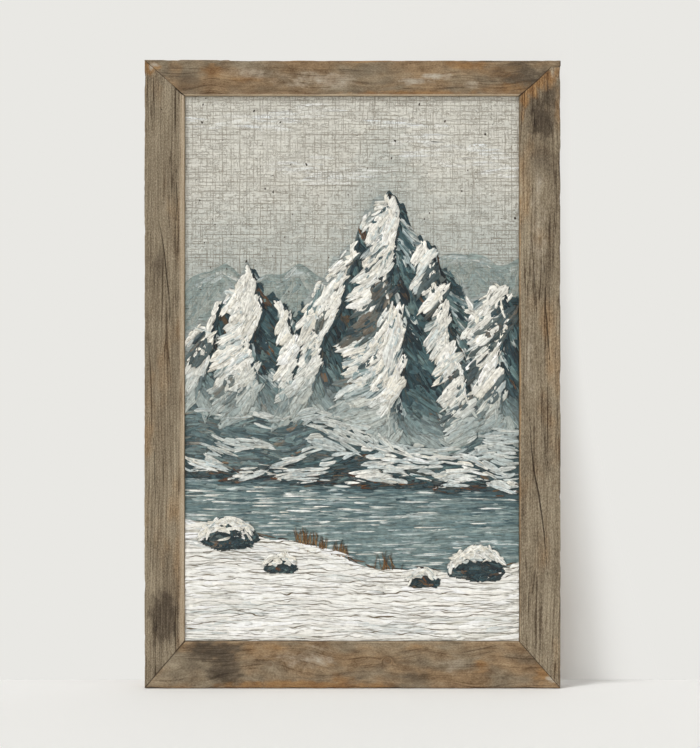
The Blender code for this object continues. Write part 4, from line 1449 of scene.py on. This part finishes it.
def planHills(dice):
    for u, v in jittered(dice, 8.5, 4.6):  # hills at the mountain's foot, the nearer ones darker
        if shoreline(u) + 0.01 < v < foothills(u):
            near = v < nearHills(u)
            row = hillStroke(dice, u, v, nearHills if near else foothills, 1.0 if near else 0.2)
            yield from keptUnder(row, foothills, 0.002)
    for i in range(210):  # the shore: low dark rocks with ledges of snow
        u = (i + dice.random()) / 210
        v = shoreline(u) + dice.uniform(-0.002, 0.020)
        snowy = dice.random() < 0.3
        first = pick(dice, "coolWhite" if snowy else "deep")
        second = pick(dice, "white" if snowy else dice.choice(("deep", "rock", "brown")))
        yield dict(
            u=u, v=v + 0.006 * snowy, long=dice.uniform(6, 17), wide=dice.uniform(1.4, 3.4),
            angle=dice.gauss(0, 9), high=dice.uniform(0.3, 0.8), bend=dice.uniform(-0.6, 0.6), rag=0.8,
            taper=0.5, base=0.4, colours=(first, second), depth=paintDepth["lake"],
        )


def planLake(dice):
    for u, v in jittered(dice, 11, 2.9):
        if not bankLine(u) - 0.002 < v < shoreline(u) - 0.004 or onRock(u, v):
            continue
        below = (shoreline(u) - v) / 0.06
        chance = dice.random()
        dark = chance < 0.72 - 0.6 * below
        first = pick(dice, "waterDark" if dark else "water")
        second = pick(dice, "water" if chance < 0.8 else "coolWhite")
        yield dict(
            u=u, v=v, long=dice.uniform(12, 38), wide=dice.uniform(1.6, 3.8), angle=dice.gauss(0, 2.2),
            high=dice.uniform(0.2, 0.45), bend=dice.uniform(-0.5, 0.5), rag=0.9, taper=0.5,
            colours=(first, second), depth=paintDepth["lake"],
        )
    for _ in range(70):  # bright glints
        u = dice.uniform(0.02, 0.98)
        yield dict(
            u=u, v=dice.uniform(bankLine(u) + 0.01, shoreline(u) - 0.014), long=dice.uniform(8, 30),
            wide=dice.uniform(0.9, 2.0), angle=dice.gauss(0, 1.6), high=0.4, rag=0.9, taper=0.7, base=0.25,
            colours=(pick(dice, "coolWhite"), pick(dice, "white")), depth=paintDepth["lake"],
        )


def planBank(dice):
    for u, v in jittered(dice, 24, 3.6):
        if v > bankLine(u) - 0.004:
            continue
        deep = (bankLine(u) - v) / 0.16
        follow = max(0.0, 1 - deep) * slopeOf(bankLine, u) * 0.8
        shaded = noiseAt(u * 5, v * 26, 4.4) > 0.16
        first = pick(dice, "snowShade" if shaded and dice.random() < 0.6 else "snow")
        yield dict(
            u=u, v=v, long=dice.uniform(24, 90), wide=dice.uniform(3.4, 9), angle=follow + dice.gauss(0, 2.2),
            high=dice.uniform(0.35, 0.9), bend=dice.uniform(-0.9, 0.9), rag=0.5, taper=dice.uniform(0.3, 0.8),
            base=dice.uniform(0, 0.25), colours=(first, pick(dice, "snow")), depth=paintDepth["bank"],
        )
    for i in range(80):  # the lip of the snow over the water
        u = (i + dice.random()) / 80
        yield dict(
            u=u, v=bankLine(u) - dice.uniform(0.002, 0.010), long=dice.uniform(10, 26),
            wide=dice.uniform(3, 6), angle=slopeOf(bankLine, u) + dice.gauss(0, 6),
            high=dice.uniform(0.6, 1.2),
            bend=dice.uniform(-0.8, 0.8), rag=0.7, base=0.3,
            colours=(pick(dice, "snow"), pick(dice, "white")), depth=paintDepth["bank"],
        )
    for _ in range(34):  # grey and brown earth shows at the water
        u = dice.random()
        yield dict(
            u=u, v=bankLine(u) + dice.uniform(0.000, 0.007), long=dice.uniform(8, 22),
            wide=dice.uniform(1.2, 2.6), angle=slopeOf(bankLine, u) + dice.gauss(0, 5), high=0.35, rag=0.9,
            taper=0.6, base=0.2, colours=(pick(dice, "brown"), pick(dice, dice.choice(("deep", "rock")))),
            depth=paintDepth["lake"],
        )


def planRocks(dice):
    base = paintDepth["bank"] + paintDepth["rock"] * 0.8
    for rockU, rockV, halfU, halfV in pictureLayout["rocks"]:
        count = int(9000 * halfU * halfV * 3.2)
        for _ in range(count):  # dark faces
            turn, far = dice.uniform(0, 2 * math.pi), math.sqrt(dice.random()) * 0.86
            across, up = far * math.cos(turn), far * math.sin(turn)
            foot = pictureLayout["rockFoot"] if up < 0 else 1
            lean = 180 if up <= 0.25 else 240 if across < 0 else 300
            chance = dice.random()
            first = pick(dice, "deep" if across > -0.2 or chance < 0.4 else "rock")
            second = pick(dice, "brown" if chance > 0.86 else "teal" if chance > 0.6 else "deep")
            yield dict(
                u=rockU + halfU * across, v=rockV + halfV * up * foot, long=dice.uniform(5, 13),
                wide=dice.uniform(2, 4.6), angle=lean + dice.gauss(0, 16), high=dice.uniform(0.3, 0.8),
                bend=dice.uniform(-0.9, 0.9), rag=0.7, taper=0.4,
                colours=(first, second), depth=base,
            )
        for _ in range(int(count * 0.8)):  # snow caps, thick, from the crown down the lit side
            across = dice.uniform(-0.95, 0.8)
            crown = math.sqrt(max(0.0, 1 - across * across))
            up = crown * (1.0 - abs(dice.gauss(0, 0.22 if across > 0 else 0.34)))
            yield dict(
                u=rockU + halfU * across, v=rockV + halfV * max(0.05, up), long=dice.uniform(6, 15),
                wide=dice.uniform(2.4, 5), angle=180 - 50 * across + dice.gauss(0, 20),
                high=dice.uniform(0.7, 1.3), bend=dice.uniform(-0.9, 0.9), rag=0.6, base=0.4,
                colours=(pick(dice, "white"), pick(dice, "white" if dice.random() < 0.7 else "coolWhite")),
                depth=base,
            )
    for _ in range(90):  # dry reeds stand at the water's edge
        u = dice.choice((0.36, 0.40, 0.47, 0.60)) + dice.gauss(0, 0.014)
        yield dict(
            u=u, v=bankLine(u) + dice.uniform(0.0, 0.018), long=dice.uniform(8, 22),
            wide=dice.uniform(0.7, 1.3), angle=90 + dice.gauss(0, 13), high=0.35,
            bend=dice.uniform(-3, 3), rag=0.3, taper=0.9, base=0.9,
            colours=(pick(dice, "reed"), pick(dice, "reed")), depth=paintDepth["lake"],
        )


skyPaint = oilPaint("skyPaint", rgb(140, 126, 104), 0.85, 0.45, 0.55, creviceShade=0.05, bristleShading=0.0, furrows=0.0)
farPaint = oilPaint("hazePaint", rgb(112, 118, 110), 0.5, 0.5, creviceShade=0.35, bristleShading=0.08, furrows=0.2)
rockPaint = oilPaint("mountainPaint", rgb(104, 93, 76), relief=1.5, creviceShade=0.55, bristleShading=0.22)
lakePaint = oilPaint("waterPaint", rgb(48, 62, 64), relief=0.7, roughness=0.42, furrows=0.5)
snowPaint = oilPaint(
    "snowPaint", rgb(104, 89, 62), relief=1.5, creviceShade=0.2, bristleShading=0.08, furrows=1.0, acrossStrokes=True
)

landRegions = ("mountain", "far", "lake", "bank", "rock")
skyFilm = paintFilm("paint_sky_ground", 320, 190, horizon, lambda u: 1.0, ("sky",), skyPaint)
landFilm = paintFilm("paint_land_ground", 240, 260, lambda u: 0.0, horizon, landRegions, rockPaint)
print("the thin ground of the picture is laid")
knife, strokePiece = knifeTree(), strokePattern()
strokePieces = [
    ("sky_strokes", planSky, skyPaint, "paint_sky", ()),
    ("far_range_strokes", planFar, farPaint, "paint_haze", [f"paint_far_range_{i}" for i in range(1, 4)]),
    ("mountain_strokes", planMountain, rockPaint, "paint_rock", ("paint_mountain",)),
    ("hill_strokes", planHills, rockPaint, "paint_rock", ()),
    ("lake_strokes", planLake, lakePaint, "paint_water", ("paint_lake",)),
    ("bank_strokes", planBank, snowPaint, "paint_snow", ("paint_bank",)),
    ("rock_strokes", planRocks, rockPaint, "paint_rock", [f"paint_rock_{i}" for i in range(1, 5)]),
]
finishPiece(skyFilm, "paint_sky", ["paint_sky"])
finishPiece(landFilm, "paint_rock")
for number, (name, plan, material, slot, nodes) in enumerate(strokePieces):
    laid = layStrokes(name, list(plan(random.Random(40 + number))), knife, strokePiece, material)
    finishPiece(laid, slot, nodes)
bpy.data.objects.remove(strokePiece)


# the linen, stretched over the bars and folded to the back
linenSettings = {
    "thickness": 0.7 * mm,
    "fold": 20 * mm,  # how far it turns in over the back
    "roundness": 1.2 * mm,
    "foldCells": 6,
    "sideCells": 5,
    "turnCells": 4,
    "cellsWide": 46,
    "cellsHigh": 74,
    "cutWaviness": 0.9 * mm,
    "pleat": 0.45 * mm,  # the corner folds stand this proud
    "threads": 900.0,  # a metre
}


def linenMaterial():
    material, tree, shader = newMaterial("rawLinen", roughness=0.92, specular=0.15)
    place = objectPlace(tree)
    x, y, z = split(place)
    threads = []
    for runs, steps, seed in ((z, x, 2.0), (x, z, 8.0)):  # warp, then weft
        sway = cloud(place, (240, 1, 240), detail=2.0, w=seed)
        phase = (sway - 0.5) * 1.6 + steps * linenSettings["threads"]
        wave = (phase * (2 * math.pi)).math("SINE") * 0.5 + 0.5
        spot = combine(steps * 700.0, runs * 34.0 + steps * 211.0, seed)
        threads.append((wave, cloud(spot)))
    (warp, warpSlub), (weft, weftSlub) = threads
    raised = (warp * warpSlub).math("MAXIMUM", weft * weftSlub)
    slub = warpSlub * 0.5 + weftSlub * 0.5
    tone = raised * 0.7 + slub * 0.9 + cloud(place, (9, 9, 9)) * 0.4 - 0.62
    colour = shades(
        tone, (0.0, 124, 106, 80), (0.35, 168, 149, 118), (0.65, 196, 180, 150), (1.0, 220, 208, 184),
    )
    coat(shader, colour, slub * 0.8 + raised, 0.35 * mm, 0.8)
    shader.inputs["Sheen Weight"].default_value = 0.25
    shader.inputs["Sheen Roughness"].default_value = 0.5
    return material


def linenPath(start, corner, side, back, front):
    # (inset from the edge, y) from the cut edge, round both turns, to the face
    foldCells, sideCells, turnCells = (linenSettings[k] for k in ("foldCells", "sideCells", "turnCells"))
    points = [(start - (start - side - corner) * i / foldCells, back) for i in range(foldCells)]
    for centre, first in ((back - corner, 90), (front + corner, 0)):
        for i in range(turnCells + 1):
            angle = math.radians(first - 90 * i / turnCells)
            points.append((side + corner - corner * math.cos(angle), centre + corner * math.sin(angle)))
        if first:
            drop = front + corner - centre
            points += [(side, centre + drop * i / sideCells) for i in range(1, sideCells)]
    return points


def buildLinen(material):
    low, high = canvasLow, canvasHigh
    wide, tall, thick = linenSettings["cellsWide"], linenSettings["cellsHigh"], linenSettings["thickness"]
    fold, turn, foldCells = linenSettings["fold"], linenSettings["roundness"], linenSettings["foldCells"]
    # the boundary of a grid of cells, as a closed loop of (0 to 1, 0 to 1)
    loop = [(i / wide, 0.0) for i in range(wide)] + [(1.0, j / tall) for j in range(tall)]
    loop += [(1 - i / wide, 1.0) for i in range(wide)] + [(0.0, 1 - j / tall) for j in range(tall)]
    verts = []

    def spotAt(inset, s, t):
        x = low.x + inset + (high.x - low.x - 2 * inset) * s
        return x, low.z + inset + (high.z - low.z - 2 * inset) * t

    def backBulge(x, z, sway, number):  # a pleat at each corner, and an uneven surface
        fromX, fromZ = min(x - low.x, high.x - x), min(z - low.z, high.z - z)
        bulge = linenSettings["pleat"] * math.exp(-(((fromX - fromZ) / (4 * mm)) ** 2))
        bulge *= min(1.0, math.hypot(fromX, fromZ) / (6 * mm)) * (number < foldCells - 1)
        return bulge + 0.12 * mm * (sway + 0.6) * (number < foldCells - 2)

    def ring(inset, y, number):
        first = len(verts)
        for s, t in loop:
            x, z = spotAt(inset, s, t)
            sway = noiseAt(x * 40, 1.0, z * 40) + 0.4 * noiseAt(x * 170, 4.0, z * 170)
            if number == 0:  # a wavy cut edge
                push = sway * linenSettings["cutWaviness"]
                x += push * ((s == 0) - (s == 1))
                z += push * ((t == 0) - (t == 1))
            verts.append((x, y + (backBulge(x, z, sway, number) if number < foldCells else 0.0), z))
        return range(first, len(verts))

    layers, faces = [], []
    for points in (
        linenPath(fold, turn, 0.0, high.y, low.y),
        linenPath(fold, turn - thick, thick, high.y - thick, low.y + thick),
    ):
        rings = [ring(inset, y, number) for number, (inset, y) in enumerate(points)]
        faces += loft(rings)
        layers.append((rings, points[-1]))
    faces += loft([layers[0][0][0], layers[1][0][0]])  # the cut edge
    for rings, (inset, y) in layers:  # the face, inside the last ring
        spot = {(round(s * wide), round(t * tall)): number for number, (s, t) in zip(rings[-1], loop)}
        for i in range(1, wide):
            for j in range(1, tall):
                spot[(i, j)] = len(verts)
                x, z = spotAt(inset, i / wide, j / tall)
                verts.append((x, y, z))
        for i in range(wide):
            for j in range(tall):
                faces.append((spot[(i, j)], spot[(i + 1, j)], spot[(i + 1, j + 1)], spot[(i, j + 1)]))
    linen = meshObject("stretched_linen", verts, faces, material)
    outwardFaces(linen)
    smoothShade(linen, 60)
    return linen


linen = buildLinen(linenMaterial())
finishPiece(linen, "linen", ["canvas"])


# finishes of the back: pine, steel, brass and felt
def pineMaterial(name, tint):
    material, tree, shader = newMaterial(name, roughness=0.62, specular=0.3)
    grain = readAttribute(tree, "grain", "Vector")
    sway = combine(y=cloud(grain, (9, 26, 26), detail=2.0) * 3.0)
    spot = vectorCalc("ADD", vectorCalc("MULTIPLY", grain, (5.0, 150.0, 120.0)), sway)
    fibre = cloud(grain, (30, 1500, 1500))
    blotch = cloud(grain, (12, 30, 30), detail=2.0)
    tone = fibre * 0.35 + cloud(spot, detail=1.5) * 1.2 + blotch * 0.3 - 0.45
    levels = (
        (0.1, (0.76, 0.66, 0.52)), (0.4, (0.93, 0.88, 0.78)), (0.62, (1.0, 0.98, 0.93)),
        (0.9, (1.06, 1.06, 1.04)),
    )
    colour = shades(tone, *[(place, *[c * k for c, k in zip(tint, level)]) for place, level in levels])
    dust = cloud(objectPlace(tree), (26, 26, 26))
    colour = mixColour(spread(dust, 0.5, 0.75, 0, 0.3), colour, rgb(118, 96, 70))
    coat(shader, colour, tone, 0.15 * mm, 0.6, spread(fibre, 0.3, 0.7, 0.7, 0.52))
    return material


def metalMaterial(name, bright, dull, roughness, spots):
    material, tree, shader = newMaterial(name, roughness=roughness, metallic=1.0)
    place = objectPlace(tree)
    cloudy = cloud(place, (180, 180, 180), detail=4.0)
    scratch = cloud(place, (300, 2400, 1900), rough=0.7)
    stain = cloud(place, (420, 420, 420), detail=2.0)
    colour = mixColour(spread(cloudy, 0.35, 0.7), bright, dull)
    colour = mixColour(spread(stain, 0.58, 0.70, 0, spots), colour, rgb(92, 66, 44))
    rough = (scratch - 0.5) * 0.35 + roughness + spread(stain, 0.56, 0.7) * 0.3
    coat(shader, colour, scratch + cloudy * 0.6, 0.04 * mm, 0.5, rough)
    return material


def feltMaterial():
    material, tree, shader = newMaterial("bumperFelt", roughness=0.97, specular=0.1)
    hair = cloud(objectPlace(tree), (1500, 1500, 1500), detail=4.0, rough=0.7, warp=1.5)
    tone = hair * 0.8 + cloud(objectPlace(tree), (420, 420, 420)) * 0.4
    colour = shades(tone, (0.3, 58, 52, 46), (0.6, 92, 84, 74), (0.85, 132, 122, 108))
    coat(shader, colour, tone, 0.3 * mm, 0.9)
    shader.inputs["Sheen Weight"].default_value = 0.4
    return material


pine = pineMaterial("stretcherPine", (214, 184, 138))
keyWood = pineMaterial("keyBeech", (222, 190, 146))
zincSteel = metalMaterial("zincSteel", (0.62, 0.62, 0.60, 1), (0.44, 0.44, 0.43, 1), 0.38, 0.15)
screwSteel = metalMaterial("screwSteel", (0.34, 0.31, 0.26, 1), (0.20, 0.18, 0.15, 1), 0.30, 0.3)
brass = metalMaterial("agedBrass", (0.62, 0.46, 0.22, 1), (0.44, 0.32, 0.15, 1), 0.30, 0.25)
felt = feltMaterial()

# finish, slot, edge width in millimetres, its segments, and from which angle an edge is eased
easedKinds = {
    "bar": (pine, "stretcher_pine", 0.7, 2, 30),
    "key": (keyWood, "key_wood", 0.4, 2, 30),
    "clip": (zincSteel, "zinc_steel", 0.22, 2, 40),
    "hanger": (brass, "brass", 0.18, 1, 40),
    "nail": (brass, "brass", 0.2, 2, 40),
    "fastener": (zincSteel, "zinc_steel", 0.12, 1, 50),
}


def easedCopy(node, material, slot, width, segments, angle):
    # a copy of a CAD node with its sharp edges eased, as a tool and some years leave them
    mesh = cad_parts[node].data.copy()
    mesh.name = "eased_" + node
    shape = bmesh.new()
    shape.from_mesh(mesh)
    bmesh.ops.remove_doubles(shape, verts=shape.verts, dist=0.002 * mm)
    bmesh.ops.dissolve_limit(shape, angle_limit=math.radians(1.0), verts=shape.verts, edges=shape.edges)
    shape.to_mesh(mesh)
    shape.free()
    mesh.materials.clear()
    mesh.materials.append(material)
    made = bpy.data.objects.new(mesh.name, mesh)
    bpy.context.scene.collection.objects.link(made)
    bevel = made.modifiers.new("easedEdges", "BEVEL")
    bevel.width, bevel.segments, bevel.limit_method = width * mm, segments, "ANGLE"
    bevel.angle_limit = math.radians(angle)
    keepResult(made)
    smoothShade(made, 35)
    corners = np.array([v.co for v in made.data.vertices])
    spans = corners.max(0) - corners.min(0)
    order = (0, 2, 1) if spans[0] > spans[2] else (2, 0, 1)  # the grain runs along the longer side
    setAttribute(made, "grain", corners[:, order] + sum(map(ord, node)) % 17 * 0.31)
    finishPiece(made, slot, [node])


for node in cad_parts:
    if node.split("_")[0] in easedKinds:
        easedCopy(node, *easedKinds[node.split("_")[0]])
print("bars, keys, clips and hanger have their finish")


# screws: one head with a cross recess, set wherever a clip is held
screwSettings = {
    "radius": 3.4 * mm,
    "height": 1.7 * mm,
    "rim": 0.25 * mm,
    "shank": [(1.5 * mm, 0.0), (1.5 * mm, -8 * mm), (0.3 * mm, -12.5 * mm), (0.0, -13 * mm)],
    "slot": (3.9 * mm, 2.4 * mm, 0.85 * mm),  # length, depth of the tool, width
    "slotNarrows": 0.45,  # length of the slot's floor, as a share
    "sides": 28,
    "seed": 5,
}


def screwPattern():
    # turned about Y, the flat of the head at 0, the dome towards +Y, and the shank into the wood
    radius, height = screwSettings["radius"], screwSettings["height"]
    profile = [(0.0, height)]
    for i in range(1, 6):
        angle = math.pi / 2 * i / 6
        profile.append((radius * math.sin(angle), height * math.cos(angle) ** 0.8))
    profile += [(radius, screwSettings["rim"]), (radius, 0.0), *screwSettings["shank"]]

    def around(reach, y, turn):
        return reach * math.cos(turn), y, reach * math.sin(turn)

    verts, rings = spun(profile, screwSettings["sides"], around)
    head = meshObject("screwPattern", verts, loft(rings))
    outwardFaces(head)
    tool = meshObject("slotTool", [], [])
    for turn in (0, math.pi / 2):
        shape = bmesh.new()
        bmesh.ops.create_cube(shape, size=1.0)
        bmesh.ops.scale(shape, vec=screwSettings["slot"], verts=shape.verts)
        for vert in shape.verts:  # the slots narrow towards their floor
            vert.co.x *= screwSettings["slotNarrows"] if vert.co.y < 0 else 1
        bmesh.ops.rotate(shape, verts=shape.verts, cent=(0, 0, 0), matrix=Matrix.Rotation(turn, 3, "Y"))
        bmesh.ops.translate(shape, vec=(0, height, 0), verts=shape.verts)
        shape.to_mesh(tool.data)
        shape.free()
        cut = head.modifiers.new("slot", "BOOLEAN")
        cut.operation, cut.object, cut.solver = "DIFFERENCE", tool, "EXACT"
        tool.update_tag()
        keepResult(head)
    bpy.data.objects.remove(tool)
    smoothShade(head, 35)
    return head


def scatterTree():
    # a pattern set on each point, turned as the point's attribute "turned" says
    tree, start = newTree("setOnPoints", {"Size": 1.0}, "Pattern")
    size = combine(start["Size"], start["Size"], start["Size"])
    laid = repeated(tree, start, "Pattern", Rotation=named(tree, "turned", "FLOAT_VECTOR"), Scale=size)
    return closeTree(laid, start)


def scattered(name, pattern, places, turns, material):
    points = meshObject(name, places, [])
    setAttribute(points, "turned", [(0, turn, 0) for turn in turns])
    runTree(points, scatter, {"Pattern": pattern, "Size": 1.0, "Material": material})
    smoothShade(points, 35)
    bpy.data.objects.remove(pattern)
    print(name, len(places), "pieces,", len(points.data.polygons), "faces")
    return points


scatter = scatterTree()
dice = random.Random(screwSettings["seed"])
screwNodes = [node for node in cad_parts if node.startswith("screw_")]
places, turns = [], []
for node in screwNodes:
    low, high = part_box(node)
    places.append(((low.x + high.x) / 2, high.y - screwSettings["height"], (low.z + high.z) / 2))
    turns.append(dice.uniform(0, math.pi / 2))
screws = scattered("clip_screws", screwPattern(), places, turns, screwSteel)
finishPiece(screws, "zinc_steel", screwNodes)


# staples along the folded linen
stapleSettings = {
    "pitch": 41 * mm,
    "fromCorner": 30 * mm,
    "inset": 10 * mm,  # from the linen's outer edge
    "crown": 10.5 * mm,
    "wire": 0.9 * mm,
    "bend": 0.94,  # the crown is flat over this share of its width
    "levels": (-0.5 * mm, 0.25 * mm, 0.46 * mm),  # of the legs, the bends and the crown
    "seed": 23,
}


def staplePattern():
    half, wire, bend = stapleSettings["crown"] / 2, stapleSettings["wire"], stapleSettings["bend"]
    left = [(-half * share, level) for share, level in zip((1, 1, bend), stapleSettings["levels"])]
    centres = left + [(-x, y) for x, y in reversed(left)]
    verts, rings = [], []
    for i, (x, y) in enumerate(centres):
        before, after = centres[max(0, i - 1)], centres[min(len(centres) - 1, i + 1)]
        ahead = Vector((after[0] - before[0], after[1] - before[1])).normalized()
        side = Vector((-ahead.y, ahead.x)) * wire * 0.32
        rings.append(range(len(verts), len(verts) + 4))
        for out, deep in ((1, 0.5), (1, -0.5), (-1, -0.5), (-1, 0.5)):
            verts.append((x + side.x * out, y + side.y * out, deep * wire))
    pattern = meshObject("staplePattern", verts, loft(rings) + [tuple(rings[0])[::-1], tuple(rings[-1])])
    outwardFaces(pattern)
    return pattern


dice = random.Random(stapleSettings["seed"])
places, turns = [], []
low, high, fromCorner = canvasLow, canvasHigh, stapleSettings["fromCorner"]
for level, start, stop in ((True, low.x, high.x), (False, low.z, high.z)):
    span = stop - start - 2 * fromCorner
    count = round(span / stapleSettings["pitch"])
    for i in range(count + 1):
        run = start + fromCorner + span * i / count + dice.uniform(-3, 3) * mm
        for edge, way in (((low.z if level else low.x), 1), ((high.z if level else high.x), -1)):
            across = edge + way * (stapleSettings["inset"] + dice.uniform(-1.2, 1.2) * mm)
            x, z = (run, across) if level else (across, run)
            places.append((x, high.y + 0.1 * mm, z))
            turns.append((0 if level else math.pi / 2) + math.radians(dice.gauss(0, 9)))
staples = scattered("linen_staples", staplePattern(), places, turns, zincSteel)
finishPiece(staples, "zinc_steel")


# felt bumpers, pressed and a little ragged
bumperSettings = {
    "sides": 48,
    "ragged": 0.16 * mm,
    # share of the radius, and how far behind the pad's back face
    "back": [(0.0, 0.12 * mm), (0.45, 0.10 * mm), (0.80, 0.12 * mm), (0.94, 0.3 * mm), (0.985, 0.9 * mm)],
    # the same from the face that is glued on
    "front": [(0.97, 0.4 * mm), (0.93, 0.0), (0.0, 0.0)],
}


def buildBumper(node):
    low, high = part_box(node)
    centre, radius, ragged = (low + high) / 2, (high.x - low.x) / 2, bumperSettings["ragged"]
    profile = [(share * radius, high.y - deep) for share, deep in bumperSettings["back"]]
    profile += [(0.99 * radius, centre.y)]
    profile += [(share * radius, low.y + up) for share, up in bumperSettings["front"]]

    def around(across, y, turn):
        if not across:
            return centre.x, y, centre.z
        rough = noiseAt(math.cos(turn) * 9, math.sin(turn) * 9, y * 900) * ragged
        reach = across + rough * (across / radius) ** 3 - ragged
        lifted = rough * 0.4 if across < radius * 0.9 and y > centre.y else 0
        return centre.x + reach * math.cos(turn), y + lifted, centre.z + reach * math.sin(turn)

    verts, rings = spun(profile, bumperSettings["sides"], around)
    made = meshObject("felt_" + node, verts, loft(rings), felt)
    outwardFaces(made)
    smoothShade(made)
    return made


for node in ("bumper_left", "bumper_right"):
    finishPiece(buildBumper(node), "bumper_felt", [node])
print("felt bumpers are on")
